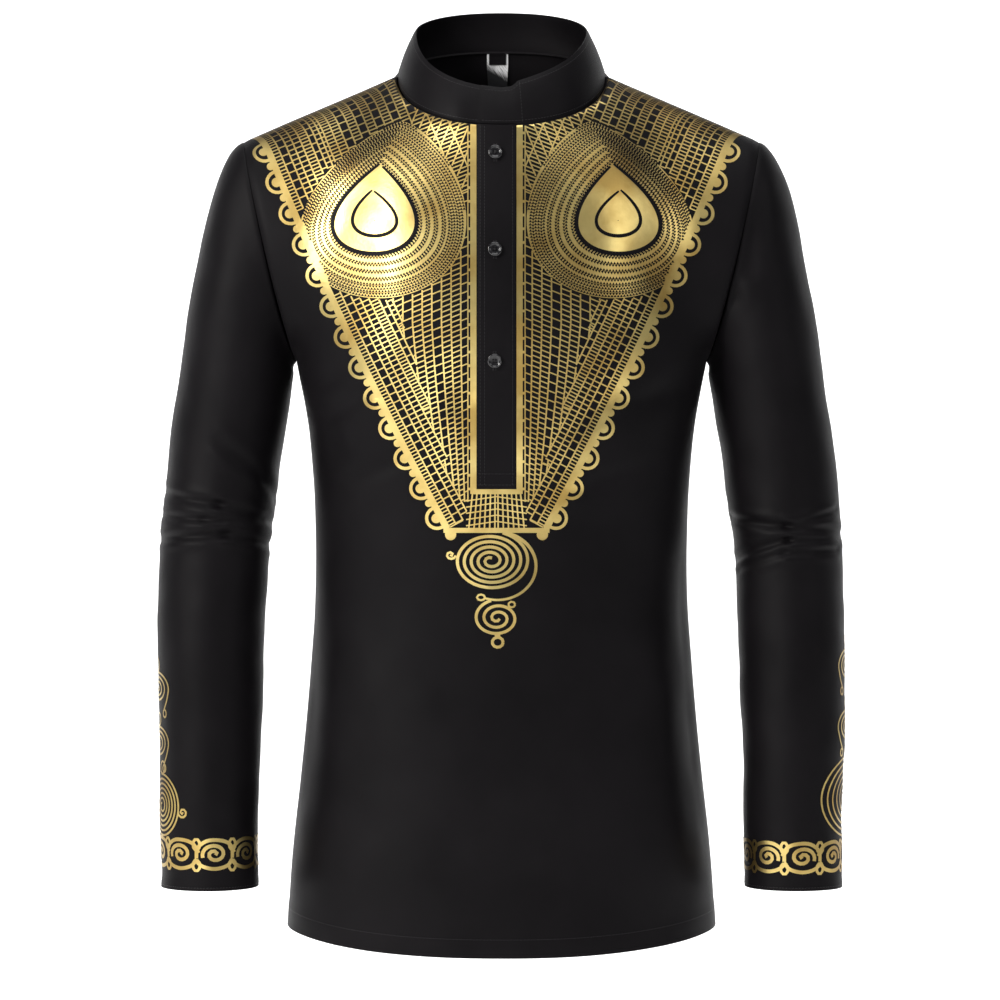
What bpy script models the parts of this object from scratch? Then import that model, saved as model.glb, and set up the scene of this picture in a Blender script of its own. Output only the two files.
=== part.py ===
"""A long-sleeved dashiki shirt with a stand collar and a half placket, filled out as if worn.

The shirt faces -Y, +X is the wearer's left and +Z is up. The origin is where a wearer holds it: midway
between the two shoulder seams' neck ends, so the neck hole surrounds it. Sizes are in metres.
Each cut piece of cloth is a wall of its own, a seam gap away from the piece that it is sewn to.
"""

import math
from collections import namedtuple

import bmesh
import bpy
import numpy as np
from mathutils import Matrix, Vector

# The cloth and its seams.
CLOTH = 0.0015
COLLAR_CLOTH = 0.0018
PLACKET_CLOTH = 0.0018
LABEL_CLOTH = 0.001
SEAM_GAP = 0.0003

# The torso, read at the side seams from the hem up to the underarm.
Section = namedtuple("Section", "height half_width front_depth back_depth")
TORSO = [
    Section(-0.712, 0.1790, 0.119, 0.117),
    Section(-0.643, 0.1743, 0.114, 0.111),
    Section(-0.593, 0.1688, 0.109, 0.105),
    Section(-0.543, 0.1638, 0.104, 0.099),
    Section(-0.492, 0.1596, 0.100, 0.093),
    Section(-0.442, 0.1562, 0.098, 0.088),
    Section(-0.391, 0.1556, 0.099, 0.086),
    Section(-0.341, 0.1575, 0.104, 0.089),
    Section(-0.291, 0.1625, 0.111, 0.096),
    Section(-0.242, 0.1718, 0.116, 0.103),
]
TORSO_FULLNESS = 0.87
HEM_HEIGHT = TORSO[0].height
UNDERARM_HEIGHT = TORSO[-1].height
FRONT_HEM_DROP = 0.015
BACK_HEM_DROP = 0.018
HEM_FULLNESS = 1.6

# The neck hole, the shoulder seams and the armholes.
NECK_HALF_WIDTH = 0.0875
NECK_FRONT_DEPTH = 0.090
NECK_BACK_DEPTH = 0.055
NECK_SIDE_HEIGHT = -0.002
NECK_FRONT_DROP = 0.051
NECK_BACK_RISE = 0.027
NECK_FULLNESS = 0.92
SHOULDER_HALF_WIDTH = 0.216
SHOULDER_SLOPE = 0.43
ARMHOLE_FRONT_DEPTH = 0.056
ARMHOLE_BACK_DEPTH = 0.060
ARMHOLE_LEAN = 0.85
NECK_SHARE = 5 / 12
CENTRE_ROLL = 0.16
NECK_ROLL = 0.86
ARMHOLE_ROLL = 0.76
NECK_FAN = 26.0

# The half placket, its buttons and the label inside the back neck.
SLOT_LEFT = -0.0199
SLOT_RIGHT = 0.0117
SLOT_BOTTOM = -0.349
PLACKET_PROUD = 0.0006
UNDER_PLACKET_LEFT = -0.0254
UNDER_PLACKET_RIGHT = 0.0097
BUTTON_HEIGHTS = (-0.0760, -0.1560, -0.2460)
BUTTON_RADIUS = 0.0060
BUTTON_THICKNESS = 0.0026
BUTTON_HOLE_RADIUS = 0.0008
BUTTON_HOLE_SPACING = 0.0014
LABEL_X = -0.0034
LABEL_HALF_WIDTH = 0.009
LABEL_LENGTH = 0.030

# The stand collar.
COLLAR_TOP_HALF_WIDTH = 0.0725
COLLAR_TOP_FRONT_DEPTH = 0.078
COLLAR_TOP_BACK_DEPTH = 0.047
COLLAR_SIDE_HEIGHT = 0.0355
COLLAR_FRONT_HEIGHT = -0.0215
COLLAR_BACK_HEIGHT = 0.0580
COLLAR_LEFT_RISE = 0.0100
COLLAR_RIGHT_RISE = 0.0025
COLLAR_BULGE = 0.0015
COLLAR_TUCK_START = 335.0

# A sleeve from the underarm down, given for the wearer's left arm; the right arm mirrors it.
Ring = namedtuple("Ring", "height centre_x centre_y half_width half_depth")
SLEEVE = [
    Ring(-0.6780, 0.2420, -0.032, 0.0402, 0.0425),
    Ring(-0.6100, 0.2424, -0.028, 0.0411, 0.0440),
    Ring(-0.5260, 0.2430, -0.021, 0.0430, 0.0465),
    Ring(-0.4420, 0.2418, -0.012, 0.0449, 0.0490),
    Ring(-0.3910, 0.2396, -0.006, 0.0456, 0.0505),
    Ring(-0.3410, 0.2346, -0.001, 0.0470, 0.0530),
    Ring(-0.2910, 0.2283, 0.002, 0.0477, 0.0560),
    Ring(-0.2530, 0.2226, 0.003, 0.0479, 0.0585),
]
CUFF_HEIGHT = SLEEVE[0].height
BICEP_HEIGHT = SLEEVE[-1].height

# Folds: soft troughs pressed into a panel between two points of its front or back view.
Fold = namedtuple("Fold", "x0 z0 x1 z1 depth width")
FRONT_FOLDS = [
    Fold(-0.176, -0.150, -0.170, -0.225, 0.0060, 0.012),
    Fold(-0.160, -0.268, -0.112, -0.240, 0.0030, 0.009),
    Fold(-0.156, -0.296, -0.106, -0.272, 0.0030, 0.009),
    Fold(-0.146, -0.300, -0.128, -0.330, 0.0030, 0.012),
    Fold(-0.100, -0.268, -0.052, -0.298, 0.0025, 0.008),
    Fold(-0.046, -0.292, -0.020, -0.270, 0.0020, 0.008),
    Fold(0.150, -0.185, 0.112, -0.250, 0.0040, 0.012),
    Fold(0.156, -0.262, 0.096, -0.285, 0.0030, 0.010),
    Fold(0.104, -0.262, 0.062, -0.300, 0.0025, 0.009),
    Fold(0.150, -0.420, 0.164, -0.640, 0.0040, 0.016),
    Fold(-0.158, -0.480, -0.166, -0.640, 0.0030, 0.014),
]
BACK_FOLDS = [
    Fold(-0.168, -0.140, -0.150, -0.235, 0.0060, 0.014),
    Fold(0.168, -0.140, 0.150, -0.235, 0.0060, 0.014),
    Fold(-0.150, -0.255, -0.080, -0.300, 0.0040, 0.012),
    Fold(0.150, -0.260, 0.070, -0.310, 0.0040, 0.012),
    Fold(-0.120, -0.375, -0.010, -0.392, 0.0045, 0.012),
    Fold(0.125, -0.385, 0.020, -0.410, 0.0045, 0.012),
    Fold(-0.090, -0.430, -0.105, -0.640, 0.0040, 0.018),
    Fold(0.085, -0.440, 0.110, -0.650, 0.0040, 0.018),
]

# Folds of a sleeve, in degrees round the tube: 0 is outside, 90 in front, 180 inside and 270 behind.
ArmFold = namedtuple("ArmFold", "turn0 z0 turn1 z1 depth width")
RIGHT_ARM_FOLDS = [
    ArmFold(5, -0.350, 95, -0.362, 0.0042, 0.0050),
    ArmFold(95, -0.362, 182, -0.378, 0.0046, 0.0050),
    ArmFold(5, -0.370, 80, -0.374, 0.0030, 0.0040),
    ArmFold(80, -0.374, 150, -0.3755, 0.0026, 0.0040),
    ArmFold(0, -0.391, 105, -0.3865, 0.0044, 0.0050),
    ArmFold(105, -0.3865, 185, -0.397, 0.0044, 0.0050),
    ArmFold(88, -0.311, 175, -0.357, 0.0032, 0.0065),
    ArmFold(190, -0.352, 300, -0.366, 0.0040, 0.0060),
    ArmFold(255, -0.395, 350, -0.381, 0.0036, 0.0060),
    ArmFold(185, -0.392, 250, -0.386, 0.0030, 0.0055),
]
LEFT_ARM_FOLDS = [
    ArmFold(175, -0.372, 95, -0.380, 0.0046, 0.0050),
    ArmFold(95, -0.380, 5, -0.386, 0.0042, 0.0050),
    ArmFold(78, -0.376, 25, -0.366, 0.0026, 0.0040),
    ArmFold(180, -0.409, 95, -0.391, 0.0050, 0.0050),
    ArmFold(95, -0.391, 10, -0.390, 0.0034, 0.0045),
    ArmFold(165, -0.416, 100, -0.401, 0.0028, 0.0045),
    ArmFold(100, -0.401, 30, -0.399, 0.0032, 0.0045),
    ArmFold(190, -0.360, 290, -0.374, 0.0040, 0.0060),
    ArmFold(240, -0.402, 345, -0.389, 0.0036, 0.0060),
    ArmFold(270, -0.350, 345, -0.358, 0.0028, 0.0060),
    ArmFold(100, -0.105, 115, -0.190, 0.0035, 0.0070),
    ArmFold(60, -0.095, 92, -0.170, 0.0025, 0.0070),
]
ARM_FOLD_RADIUS = 0.046
RIDGE_SHARE = 0.35
RIDGE_REACH = 1.6
ARM_SIDE_SHARE = 0.45

# How finely each wall is divided.
FRONT_NECK_COLUMNS = 6
FRONT_SHOULDER_COLUMNS = 7
BACK_NECK_COLUMNS = 6
BACK_SHOULDER_COLUMNS = 6
ARMHOLE_ROWS = 12
SLEEVE_COLUMNS = 2 * ARMHOLE_ROWS
PLACKET_COLUMNS = 4
COLLAR_ROWS = 3
BUTTON_SIDES = 14


def clear_scene():
    for old in list(bpy.data.objects):
        bpy.data.objects.remove(old)


def cloth_material(name, colour, roughness, metallic=0.0):
    """A plain finish in the piece's own colour."""
    material = bpy.data.materials.new(name)
    material.use_nodes = True
    shader = material.node_tree.nodes["Principled BSDF"]
    shader.inputs["Base Color"].default_value = (*colour, 1.0)
    shader.inputs["Roughness"].default_value = roughness
    shader.inputs["Metallic"].default_value = metallic
    return material


def read_column(rows, column, height):
    """One column of a table of sections at a height, on a smooth curve through its rows."""
    heights = np.array([row.height for row in rows])
    values = np.array([getattr(row, column) for row in rows])
    slopes = np.gradient(values, heights)
    i = int(np.clip(np.searchsorted(heights, height) - 1, 0, len(rows) - 2))
    span = heights[i + 1] - heights[i]
    t = (height - heights[i]) / span
    return hermite(values[i], slopes[i] * span, values[i + 1], slopes[i + 1] * span, t)


def hermite(start, start_pull, end, end_pull, t):
    """A cubic from start to end that leaves along start_pull and arrives along end_pull."""
    return (
        (2 * t**3 - 3 * t**2 + 1) * start
        + (t**3 - 2 * t**2 + t) * start_pull
        + (3 * t**2 - 2 * t**3) * end
        + (t**3 - t**2) * end_pull
    )


def smooth(t):
    t = min(1.0, max(0.0, t))
    return t * t * (3 - 2 * t)


def rounded(value, fullness):
    """A sine or cosine raised so that a section is fuller than an ellipse."""
    return math.copysign(abs(value) ** fullness, value)


def torso_point(u, height, facing):
    """A point round the torso: u runs from -1 to 1 across a panel; facing is -1 in front, 1 at the back."""
    angle = u * math.pi / 2
    depth = "front_depth" if facing < 0 else "back_depth"
    return np.array(
        [
            read_column(TORSO, "half_width", height) * rounded(math.sin(angle), TORSO_FULLNESS),
            facing * read_column(TORSO, depth, height) * rounded(math.cos(angle), TORSO_FULLNESS),
            height,
        ]
    )


def top_line_point(u, facing):
    """The panel's top edge: the neckline inside NECK_SHARE and the shoulder seam outside it."""
    side = math.copysign(1.0, u)
    reach = abs(u)
    if reach <= NECK_SHARE:
        angle = reach / NECK_SHARE * math.pi / 2
        across = rounded(math.sin(angle), NECK_FULLNESS)
        towards = rounded(math.cos(angle), NECK_FULLNESS)
        depth = NECK_FRONT_DEPTH if facing < 0 else NECK_BACK_DEPTH
        rise = -NECK_FRONT_DROP if facing < 0 else NECK_BACK_RISE
        return np.array(
            [side * NECK_HALF_WIDTH * across, facing * depth * towards, NECK_SIDE_HEIGHT + rise * towards]
        )
    share = (reach - NECK_SHARE) / (1 - NECK_SHARE)
    x = NECK_HALF_WIDTH + share * (SHOULDER_HALF_WIDTH - NECK_HALF_WIDTH)
    return np.array([side * x, 0.0, NECK_SIDE_HEIGHT - SHOULDER_SLOPE * (x - NECK_HALF_WIDTH)])


def armhole_point(side, turn):
    """The armhole seam: turn is 0 at the shoulder, 90 in front, 180 at the underarm and 270 behind."""
    top = NECK_SIDE_HEIGHT - SHOULDER_SLOPE * (SHOULDER_HALF_WIDTH - NECK_HALF_WIDTH)
    angle = math.radians(turn)
    height = (top + UNDERARM_HEIGHT) / 2 + (top - UNDERARM_HEIGHT) / 2 * math.cos(angle)
    climb = max(0.0, (height - UNDERARM_HEIGHT) / (top - UNDERARM_HEIGHT)) ** ARMHOLE_LEAN
    underarm_x = TORSO[-1].half_width
    depth = ARMHOLE_FRONT_DEPTH if math.sin(angle) > 0 else ARMHOLE_BACK_DEPTH
    x = underarm_x + (SHOULDER_HALF_WIDTH - underarm_x) * climb
    return np.array([side * x, -depth * math.sin(angle), height])


def column_ends(u, facing):
    """The ends of a chest or upper back column, each with its pull: it rolls over the shoulder at the top."""
    foot = torso_point(u, UNDERARM_HEIGHT, facing)
    below = torso_point(u, UNDERARM_HEIGHT - 0.01, facing)
    top = top_line_point(u, facing)
    length = top[2] - foot[2]
    inside = abs(u) <= NECK_SHARE
    near = smooth(abs(u) / NECK_SHARE if inside else (1 - abs(u)) / (1 - NECK_SHARE))
    start = CENTRE_ROLL if inside else ARMHOLE_ROLL
    roll = start + (NECK_ROLL - start) * near ** (1.5 if inside else 0.8)
    fan = math.radians(NECK_FAN) * near
    top_pull = length * np.array(
        [
            -math.copysign(roll * math.sin(fan), u),
            -facing * roll * math.cos(fan),
            0.80 - 0.62 * near if inside else 0.04 + 0.14 * near,
        ]
    )
    return foot, (foot - below) / 0.01 * length, top, top_pull


def upper_panel_point(u, climb, facing):
    """The chest or upper back: each column rises from the underarm row and turns over to the top line."""
    point = hermite(*column_ends(u, facing), climb)
    hold = smooth((abs(u) - 0.55) / 0.45)
    if hold > 0:
        side = math.copysign(1.0, u)
        turn = 180 * (1 - climb) if facing < 0 else 180 + 180 * climb
        point = point + hold * (armhole_point(side, turn) - hermite(*column_ends(side, facing), climb))
    return point


def fold_depth(folds, x, z):
    """How far the folds press a point of a panel inwards."""
    pressed = 0.0
    for fold in folds:
        along_x, along_z = fold.x1 - fold.x0, fold.z1 - fold.z0
        length = math.hypot(along_x, along_z)
        t = ((x - fold.x0) * along_x + (z - fold.z0) * along_z) / length**2
        off = ((x - fold.x0) * along_z - (z - fold.z0) * along_x) / length
        past = max(0.0, -t, t - 1) * length
        near = math.exp(-((off / fold.width) ** 2) - (past / (1.5 * fold.width)) ** 2)
        ends = 0.35 + 0.65 * math.sin(math.pi * min(1.0, max(0.0, t)))
        pressed += fold.depth * near * ends
    return pressed


def panel_point(u, level, facing):
    """A point of the front or back: level is 0 at the hem, 1 at the underarm and 2 at the top line."""
    if level <= 1:
        height = HEM_HEIGHT + level * (UNDERARM_HEIGHT - HEM_HEIGHT)
        point = torso_point(u, height, facing)
        drop = FRONT_HEM_DROP if facing < 0 else BACK_HEM_DROP
        point[2] -= drop * abs(math.cos(u * math.pi / 2)) ** HEM_FULLNESS * (1 - level) ** 4
    else:
        point = upper_panel_point(u, level - 1, facing)
    folds = FRONT_FOLDS if facing < 0 else BACK_FOLDS
    edge_fade = smooth((1 - abs(u)) / 0.18) * smooth((2 - level) / 0.15)
    inward = fold_depth(folds, point[0], point[2]) * edge_fade
    angle = u * math.pi / 2
    point[0] -= inward * math.sin(angle)
    point[1] -= facing * inward * math.cos(angle)
    point[1] += facing * SEAM_GAP / 2
    return point


def level_at(height):
    return (height - HEM_HEIGHT) / (UNDERARM_HEIGHT - HEM_HEIGHT)


def share_at(x, level, facing):
    """The u at which a panel's row reaches x in the neck columns, found by halving."""
    low, high = 0.0, NECK_SHARE
    for _ in range(30):
        middle = (low + high) / 2
        if panel_point(middle, level, facing)[0] < abs(x):
            low = middle
        else:
            high = middle
    return math.copysign((low + high) / 2, x)


def arm_fold_depth(folds, turn, height):
    """How far a sleeve's folds press it in; beside a trough the cloth puffs out a little."""
    pressed = 0.0
    for fold in folds:
        along = math.radians(fold.turn1 - fold.turn0) * ARM_FOLD_RADIUS
        rise = fold.z1 - fold.z0
        length = math.hypot(along, rise)
        middle = (fold.turn0 + fold.turn1) / 2
        away = (turn - middle + 180) % 360 - 180 + middle
        across = math.radians(away - fold.turn0) * ARM_FOLD_RADIUS
        t = (across * along + (height - fold.z0) * rise) / length**2
        off = (across * rise - (height - fold.z0) * along) / length / fold.width
        past = max(0.0, -t, t - 1) * length
        trough = math.exp(-(off**2))
        puffs = math.exp(-((off - RIDGE_REACH) ** 2)) + math.exp(-((off + RIDGE_REACH) ** 2))
        pressed += fold.depth * (trough - RIDGE_SHARE * puffs) * math.exp(-((past / fold.width) ** 2))
    return pressed


def sleeve_point(side, turn, height):
    """A point of the sleeve below the underarm. turn is 0 outside, 90 in front, 180 inside, 270 behind."""
    angle = math.radians(turn)
    centre_x = read_column(SLEEVE, "centre_x", height)
    centre_y = read_column(SLEEVE, "centre_y", height)
    folds = LEFT_ARM_FOLDS if side > 0 else RIGHT_ARM_FOLDS
    pressed = arm_fold_depth(folds, turn, height)
    across = read_column(SLEEVE, "half_width", height) - pressed * ARM_SIDE_SHARE
    depth = read_column(SLEEVE, "half_depth", height) - pressed
    x = centre_x + across * math.cos(angle)
    return np.array([side * x, centre_y - depth * math.sin(angle), height])


def sleeve_cap_point(side, turn, t):
    """The sleeve between the armhole seam (t = 0) and the ring just under the arm (t = 1)."""
    seam = armhole_point(side, turn)
    seam[0] += side * SEAM_GAP
    ring = sleeve_point(side, turn, BICEP_HEIGHT)
    below = sleeve_point(side, turn, BICEP_HEIGHT - 0.01)
    height = seam[2] - ring[2]
    top = (1 + math.cos(math.radians(turn))) / 2
    out = 0.012 + 0.078 * top**1.2
    down = 0.012 + 0.035 * math.sin(math.radians(turn)) ** 2 + 0.030 * top
    seam_pull = np.array([side * out, 0.0, -down])
    ring_pull = (below - ring) / 0.01 * max(0.012, height * 1.05)
    point = hermite(seam, seam_pull, ring, ring_pull, t)
    folds = LEFT_ARM_FOLDS if side > 0 else RIGHT_ARM_FOLDS
    pressed = arm_fold_depth(folds, turn, point[2]) * smooth(t / 0.15) * (1 - smooth(t))
    point[0] -= side * pressed * math.cos(math.radians(turn))
    point[1] += pressed * math.sin(math.radians(turn))
    return point


def collar_ring_point(turn, share):
    """A point of the collar: turn is 0 at centre front and 90 at the wearer's left; share climbs it."""
    angle = math.radians(turn)
    across = rounded(math.sin(angle), NECK_FULLNESS)
    towards = rounded(math.cos(angle), NECK_FULLNESS)
    front = towards > 0
    foot = np.array(
        [
            NECK_HALF_WIDTH * across,
            -towards * (NECK_FRONT_DEPTH if front else NECK_BACK_DEPTH),
            NECK_SIDE_HEIGHT - towards * (NECK_FRONT_DROP if front else NECK_BACK_RISE),
        ]
    )
    end_height = COLLAR_FRONT_HEIGHT if front else COLLAR_BACK_HEIGHT
    top = np.array(
        [
            COLLAR_TOP_HALF_WIDTH * across,
            -towards * (COLLAR_TOP_FRONT_DEPTH if front else COLLAR_TOP_BACK_DEPTH),
            COLLAR_SIDE_HEIGHT + abs(towards) * (end_height - COLLAR_SIDE_HEIGHT),
        ]
    )
    if front:
        rise = COLLAR_LEFT_RISE if across > 0 else COLLAR_RIGHT_RISE
        top[2] += rise * math.sqrt(abs(math.sin(2 * angle)))
    outward = np.array([across, -towards, 0.0]) / math.hypot(across, towards)
    point = foot + share * (top - foot)
    point = point + outward * COLLAR_BULGE * math.sin(math.pi * share)
    point[2] += SEAM_GAP * 1.5 * (1 - share)
    tuck = smooth((turn - COLLAR_TUCK_START) / 12) * (COLLAR_CLOTH + 2 * SEAM_GAP)
    return point - outward * tuck


def grid_normals(grid, wraps):
    """Outward normals of a grid of points, from its rows and columns; a wrapped grid closes on itself."""
    if wraps:
        across = np.roll(grid, -1, axis=1) - np.roll(grid, 1, axis=1)
    else:
        across = np.gradient(grid, axis=1)
    normals = np.cross(across, np.gradient(grid, axis=0))
    return normals / np.linalg.norm(normals, axis=2, keepdims=True)


def wall_object(name, outer, inner, material, wraps=False, left_out=()):
    """A closed wall between an outer and an inner grid, without the cells that are left out."""
    rows, columns = outer.shape[:2]
    mesh = bmesh.new()
    skins = [[[mesh.verts.new(point) for point in row] for row in grid] for grid in (outer, inner)]
    outer_verts, inner_verts = skins
    cell_columns = columns if wraps else columns - 1
    kept = {(r, c) for r in range(rows - 1) for c in range(cell_columns)} - set(left_out)
    for r, c in sorted(kept):
        d = (c + 1) % columns
        corners = [(r, c), (r, d), (r + 1, d), (r + 1, c)]
        mesh.faces.new([outer_verts[i][j] for i, j in corners])
        mesh.faces.new([inner_verts[i][j] for i, j in reversed(corners)])
        beyond = [(r - 1, c), (r, d), (r + 1, c), (r, (c - 1) % columns if wraps else c - 1)]
        for k in range(4):
            if beyond[k] in kept:
                continue
            (ai, aj), (bi, bj) = corners[k], corners[(k + 1) % 4]
            edge = [outer_verts[bi][bj], outer_verts[ai][aj], inner_verts[ai][aj], inner_verts[bi][bj]]
            mesh.faces.new(edge)
    unused = [vert for vert in mesh.verts if not vert.link_faces]
    bmesh.ops.delete(mesh, geom=unused, context="VERTS")
    bmesh.ops.triangulate(mesh, faces=mesh.faces[:])
    data = bpy.data.meshes.new(name)
    mesh.to_mesh(data)
    mesh.free()
    data.shade_smooth()
    data.set_sharp_from_angle(angle=math.radians(50))
    data.materials.append(material)
    piece = bpy.data.objects.new(name, data)
    bpy.context.collection.objects.link(piece)
    return piece


def panel_levels(lower_heights, upper_steps):
    lower = [level_at(height) for height in lower_heights]
    return lower + [1 + step / upper_steps for step in range(1, upper_steps + 1)]


def panel_grid(levels, shares_at_level, facing):
    grid = np.array([[panel_point(u, level, facing) for u in shares_at_level(level)] for level in levels])
    return grid if facing < 0 else grid[:, ::-1]


def panel_inner(outer, facing, thickness):
    """The inside of a panel, held clear of the seams at its sides, shoulders and armholes."""
    inner = outer - grid_normals(outer, False) * thickness
    limit = SEAM_GAP / 2
    inner[..., 1] = np.minimum(inner[..., 1], -limit) if facing < 0 else np.maximum(inner[..., 1], limit)
    for edge in (0, -1):
        side = np.sign(outer[:, edge, 0])
        inner[:, edge, 0] = side * np.minimum(np.abs(inner[:, edge, 0]), np.abs(outer[:, edge, 0]))
    return inner


def front_levels():
    """Rows of the front: the placket's slot ends on one of them."""
    below = np.linspace(HEM_HEIGHT, SLOT_BOTTOM, 11)[:-1]
    above = np.linspace(SLOT_BOTTOM, UNDERARM_HEIGHT, 7)
    return panel_levels([*below, *above], ARMHOLE_ROWS)


def front_shares(level):
    """Columns of the front at a row: those at the slot, then the neck's and the shoulders' on each side."""
    left = np.linspace(share_at(SLOT_LEFT, level, -1), -NECK_SHARE, FRONT_NECK_COLUMNS + 1)
    right = np.linspace(share_at(SLOT_RIGHT, level, -1), NECK_SHARE, FRONT_NECK_COLUMNS + 1)
    middle = share_at((SLOT_LEFT + SLOT_RIGHT) / 2, level, -1)
    shoulder = np.linspace(NECK_SHARE, 1, FRONT_SHOULDER_COLUMNS + 1)[1:]
    return [*-shoulder[::-1], *left[::-1], middle, *right, *shoulder]


def make_front(material):
    levels = front_levels()
    outer = panel_grid(levels, front_shares, -1)
    inner = panel_inner(outer, -1, CLOTH)
    middle = outer.shape[1] // 2
    slot_row = levels.index(level_at(SLOT_BOTTOM))
    slot = [(r, c) for r in range(slot_row, len(levels) - 1) for c in (middle - 1, middle)]
    return wall_object("front", outer, inner, material, left_out=slot)


def make_back(material):
    lower = np.linspace(HEM_HEIGHT, UNDERARM_HEIGHT, 15)
    neck = np.linspace(0, NECK_SHARE, BACK_NECK_COLUMNS + 1)
    shoulder = np.linspace(NECK_SHARE, 1, BACK_SHOULDER_COLUMNS + 1)[1:]
    half = [*neck, *shoulder]
    shares = [-u for u in reversed(half[1:])] + half
    outer = panel_grid(panel_levels(lower, ARMHOLE_ROWS), lambda level: shares, 1)
    inner = panel_inner(outer, 1, CLOTH)
    wall_object("back", outer, inner, material)
    return inner


def placket_grid(left, right, columns, inset):
    """A strip of the front's own points between two x, from the slot's bottom to the neckline."""
    levels = [level for level in front_levels() if level >= level_at(SLOT_BOTTOM) - 1e-9]
    rows = []
    for level in levels:
        row = []
        for x in np.linspace(left, right, columns + 1):
            row.append(panel_point(share_at(x, level, -1), level, -1))
        rows.append(row)
    grid = np.array(rows)
    return grid - grid_normals(grid, False) * inset


def make_plackets(material):
    """The over strip fills the slot, sewn along its left edge; the under strip is behind, sewn to the other."""
    over = placket_grid(SLOT_LEFT + SEAM_GAP, SLOT_RIGHT - SEAM_GAP, PLACKET_COLUMNS, -PLACKET_PROUD)
    over[0, :, 2] += SEAM_GAP
    over_inner = over - grid_normals(over, False) * PLACKET_CLOTH
    wall_object("placket_over", over, over_inner, material)
    depth = PLACKET_CLOTH - PLACKET_PROUD + 3 * SEAM_GAP
    under = placket_grid(UNDER_PLACKET_LEFT, UNDER_PLACKET_RIGHT, PLACKET_COLUMNS, depth)
    wall_object("placket_under", under, under - grid_normals(under, False) * CLOTH, material)
    return over


def button_mesh(name, material):
    """A four-hole button, turned from its profile: a dished face inside a round rim."""
    profile = [
        (0.0, 0.0),
        (0.80, 0.0),
        (1.0, 0.30),
        (1.0, 0.65),
        (0.88, 1.0),
        (0.72, 0.92),
        (0.60, 0.62),
        (0.0, 0.62),
    ]
    mesh = bmesh.new()
    points = [Vector((r * BUTTON_RADIUS, 0.0, h * BUTTON_THICKNESS)) for r, h in profile]
    verts = [mesh.verts.new(point) for point in points]
    edges = [mesh.edges.new(pair) for pair in zip(verts[:-1], verts[1:])]
    bmesh.ops.spin(
        mesh,
        geom=verts + edges,
        cent=(0, 0, 0),
        axis=(0, 0, 1),
        angle=2 * math.pi,
        steps=BUTTON_SIDES,
    )
    bmesh.ops.remove_doubles(mesh, verts=mesh.verts[:], dist=1e-6)
    bmesh.ops.recalc_face_normals(mesh, faces=mesh.faces[:])
    data = bpy.data.meshes.new(name)
    mesh.to_mesh(data)
    mesh.free()
    data.shade_smooth()
    data.set_sharp_from_angle(angle=math.radians(40))
    data.materials.append(material)
    return data


def hole_cutter():
    """Four pins that cut the thread holes of every button."""
    mesh = bmesh.new()
    for corner in range(4):
        angle = math.radians(45 + 90 * corner)
        reach = BUTTON_HOLE_SPACING * math.sqrt(2) * 0.72
        place = Matrix.Translation((reach * math.cos(angle), reach * math.sin(angle), 0))
        bmesh.ops.create_cone(
            mesh,
            cap_ends=True,
            segments=5,
            radius1=BUTTON_HOLE_RADIUS,
            radius2=BUTTON_HOLE_RADIUS,
            depth=4 * BUTTON_THICKNESS,
            matrix=place,
        )
    data = bpy.data.meshes.new("button_hole_pins")
    mesh.to_mesh(data)
    mesh.free()
    cutter = bpy.data.objects.new("button_hole_pins", data)
    bpy.context.collection.objects.link(cutter)
    cutter.hide_render = True
    cutter.display_type = "WIRE"
    return cutter


def make_buttons(material, placket):
    """Three buttons down the middle of the over placket, each lying on it."""
    middle = placket.shape[1] // 2
    heights = placket[:, middle, 2]
    data = button_mesh("button", material)
    for number, height in enumerate(BUTTON_HEIGHTS, 1):
        row = int(np.searchsorted(heights, height))
        below, above = placket[row - 1, middle], placket[row, middle]
        share = (height - below[2]) / (above[2] - below[2])
        seat = Vector(below + share * (above - below))
        across = placket[row, middle + 1] - placket[row, middle - 1]
        facing = Vector(np.cross(across, above - below)).normalized()
        button = bpy.data.objects.new(f"button_{number}", data)
        bpy.context.collection.objects.link(button)
        button.location = seat + facing * SEAM_GAP
        button.rotation_mode = "QUATERNION"
        button.rotation_quaternion = facing.to_track_quat("Z", "Y")
        cutter = hole_cutter()
        cutter.name = f"button_hole_pins_{number}"
        cutter.location = button.location
        cutter.rotation_mode = "QUATERNION"
        cutter.rotation_quaternion = button.rotation_quaternion
        holes = button.modifiers.new("thread holes", "BOOLEAN")
        holes.operation = "DIFFERENCE"
        holes.object = cutter


def make_label(material, back_inside):
    """A short woven label that hangs inside the back, from the collar seam."""
    middle = back_inside.shape[1] // 2
    top, below = back_inside[-1], back_inside[-2]
    rows = []
    for fall in (LABEL_LENGTH, LABEL_LENGTH / 2, 0.0005):
        row = []
        for x in (LABEL_X + LABEL_HALF_WIDTH, 0.0, LABEL_X - LABEL_HALF_WIDTH):
            column = middle - 1 if x > 0 else middle + 1
            share = x / top[column][0]
            start = top[middle] + share * (top[column] - top[middle])
            end = below[middle] + share * (below[column] - below[middle])
            row.append(start + (end - start) * fall / np.linalg.norm(end - start))
        rows.append(row)
    grid = np.array(rows)
    outward = grid_normals(grid, False)
    near = grid - outward * 2 * SEAM_GAP
    wall_object("neck_label", near, near - outward * LABEL_CLOTH, material)


def sleeve_heights():
    """Rows of a sleeve below the underarm, close together over the elbow creases."""
    upper = np.linspace(BICEP_HEIGHT, -0.335, 4)[1:-1]
    elbow = np.linspace(-0.335, -0.420, 18)
    lower = np.linspace(-0.420, CUFF_HEIGHT, 7)[1:]
    return [*upper, *elbow, *lower]


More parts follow.
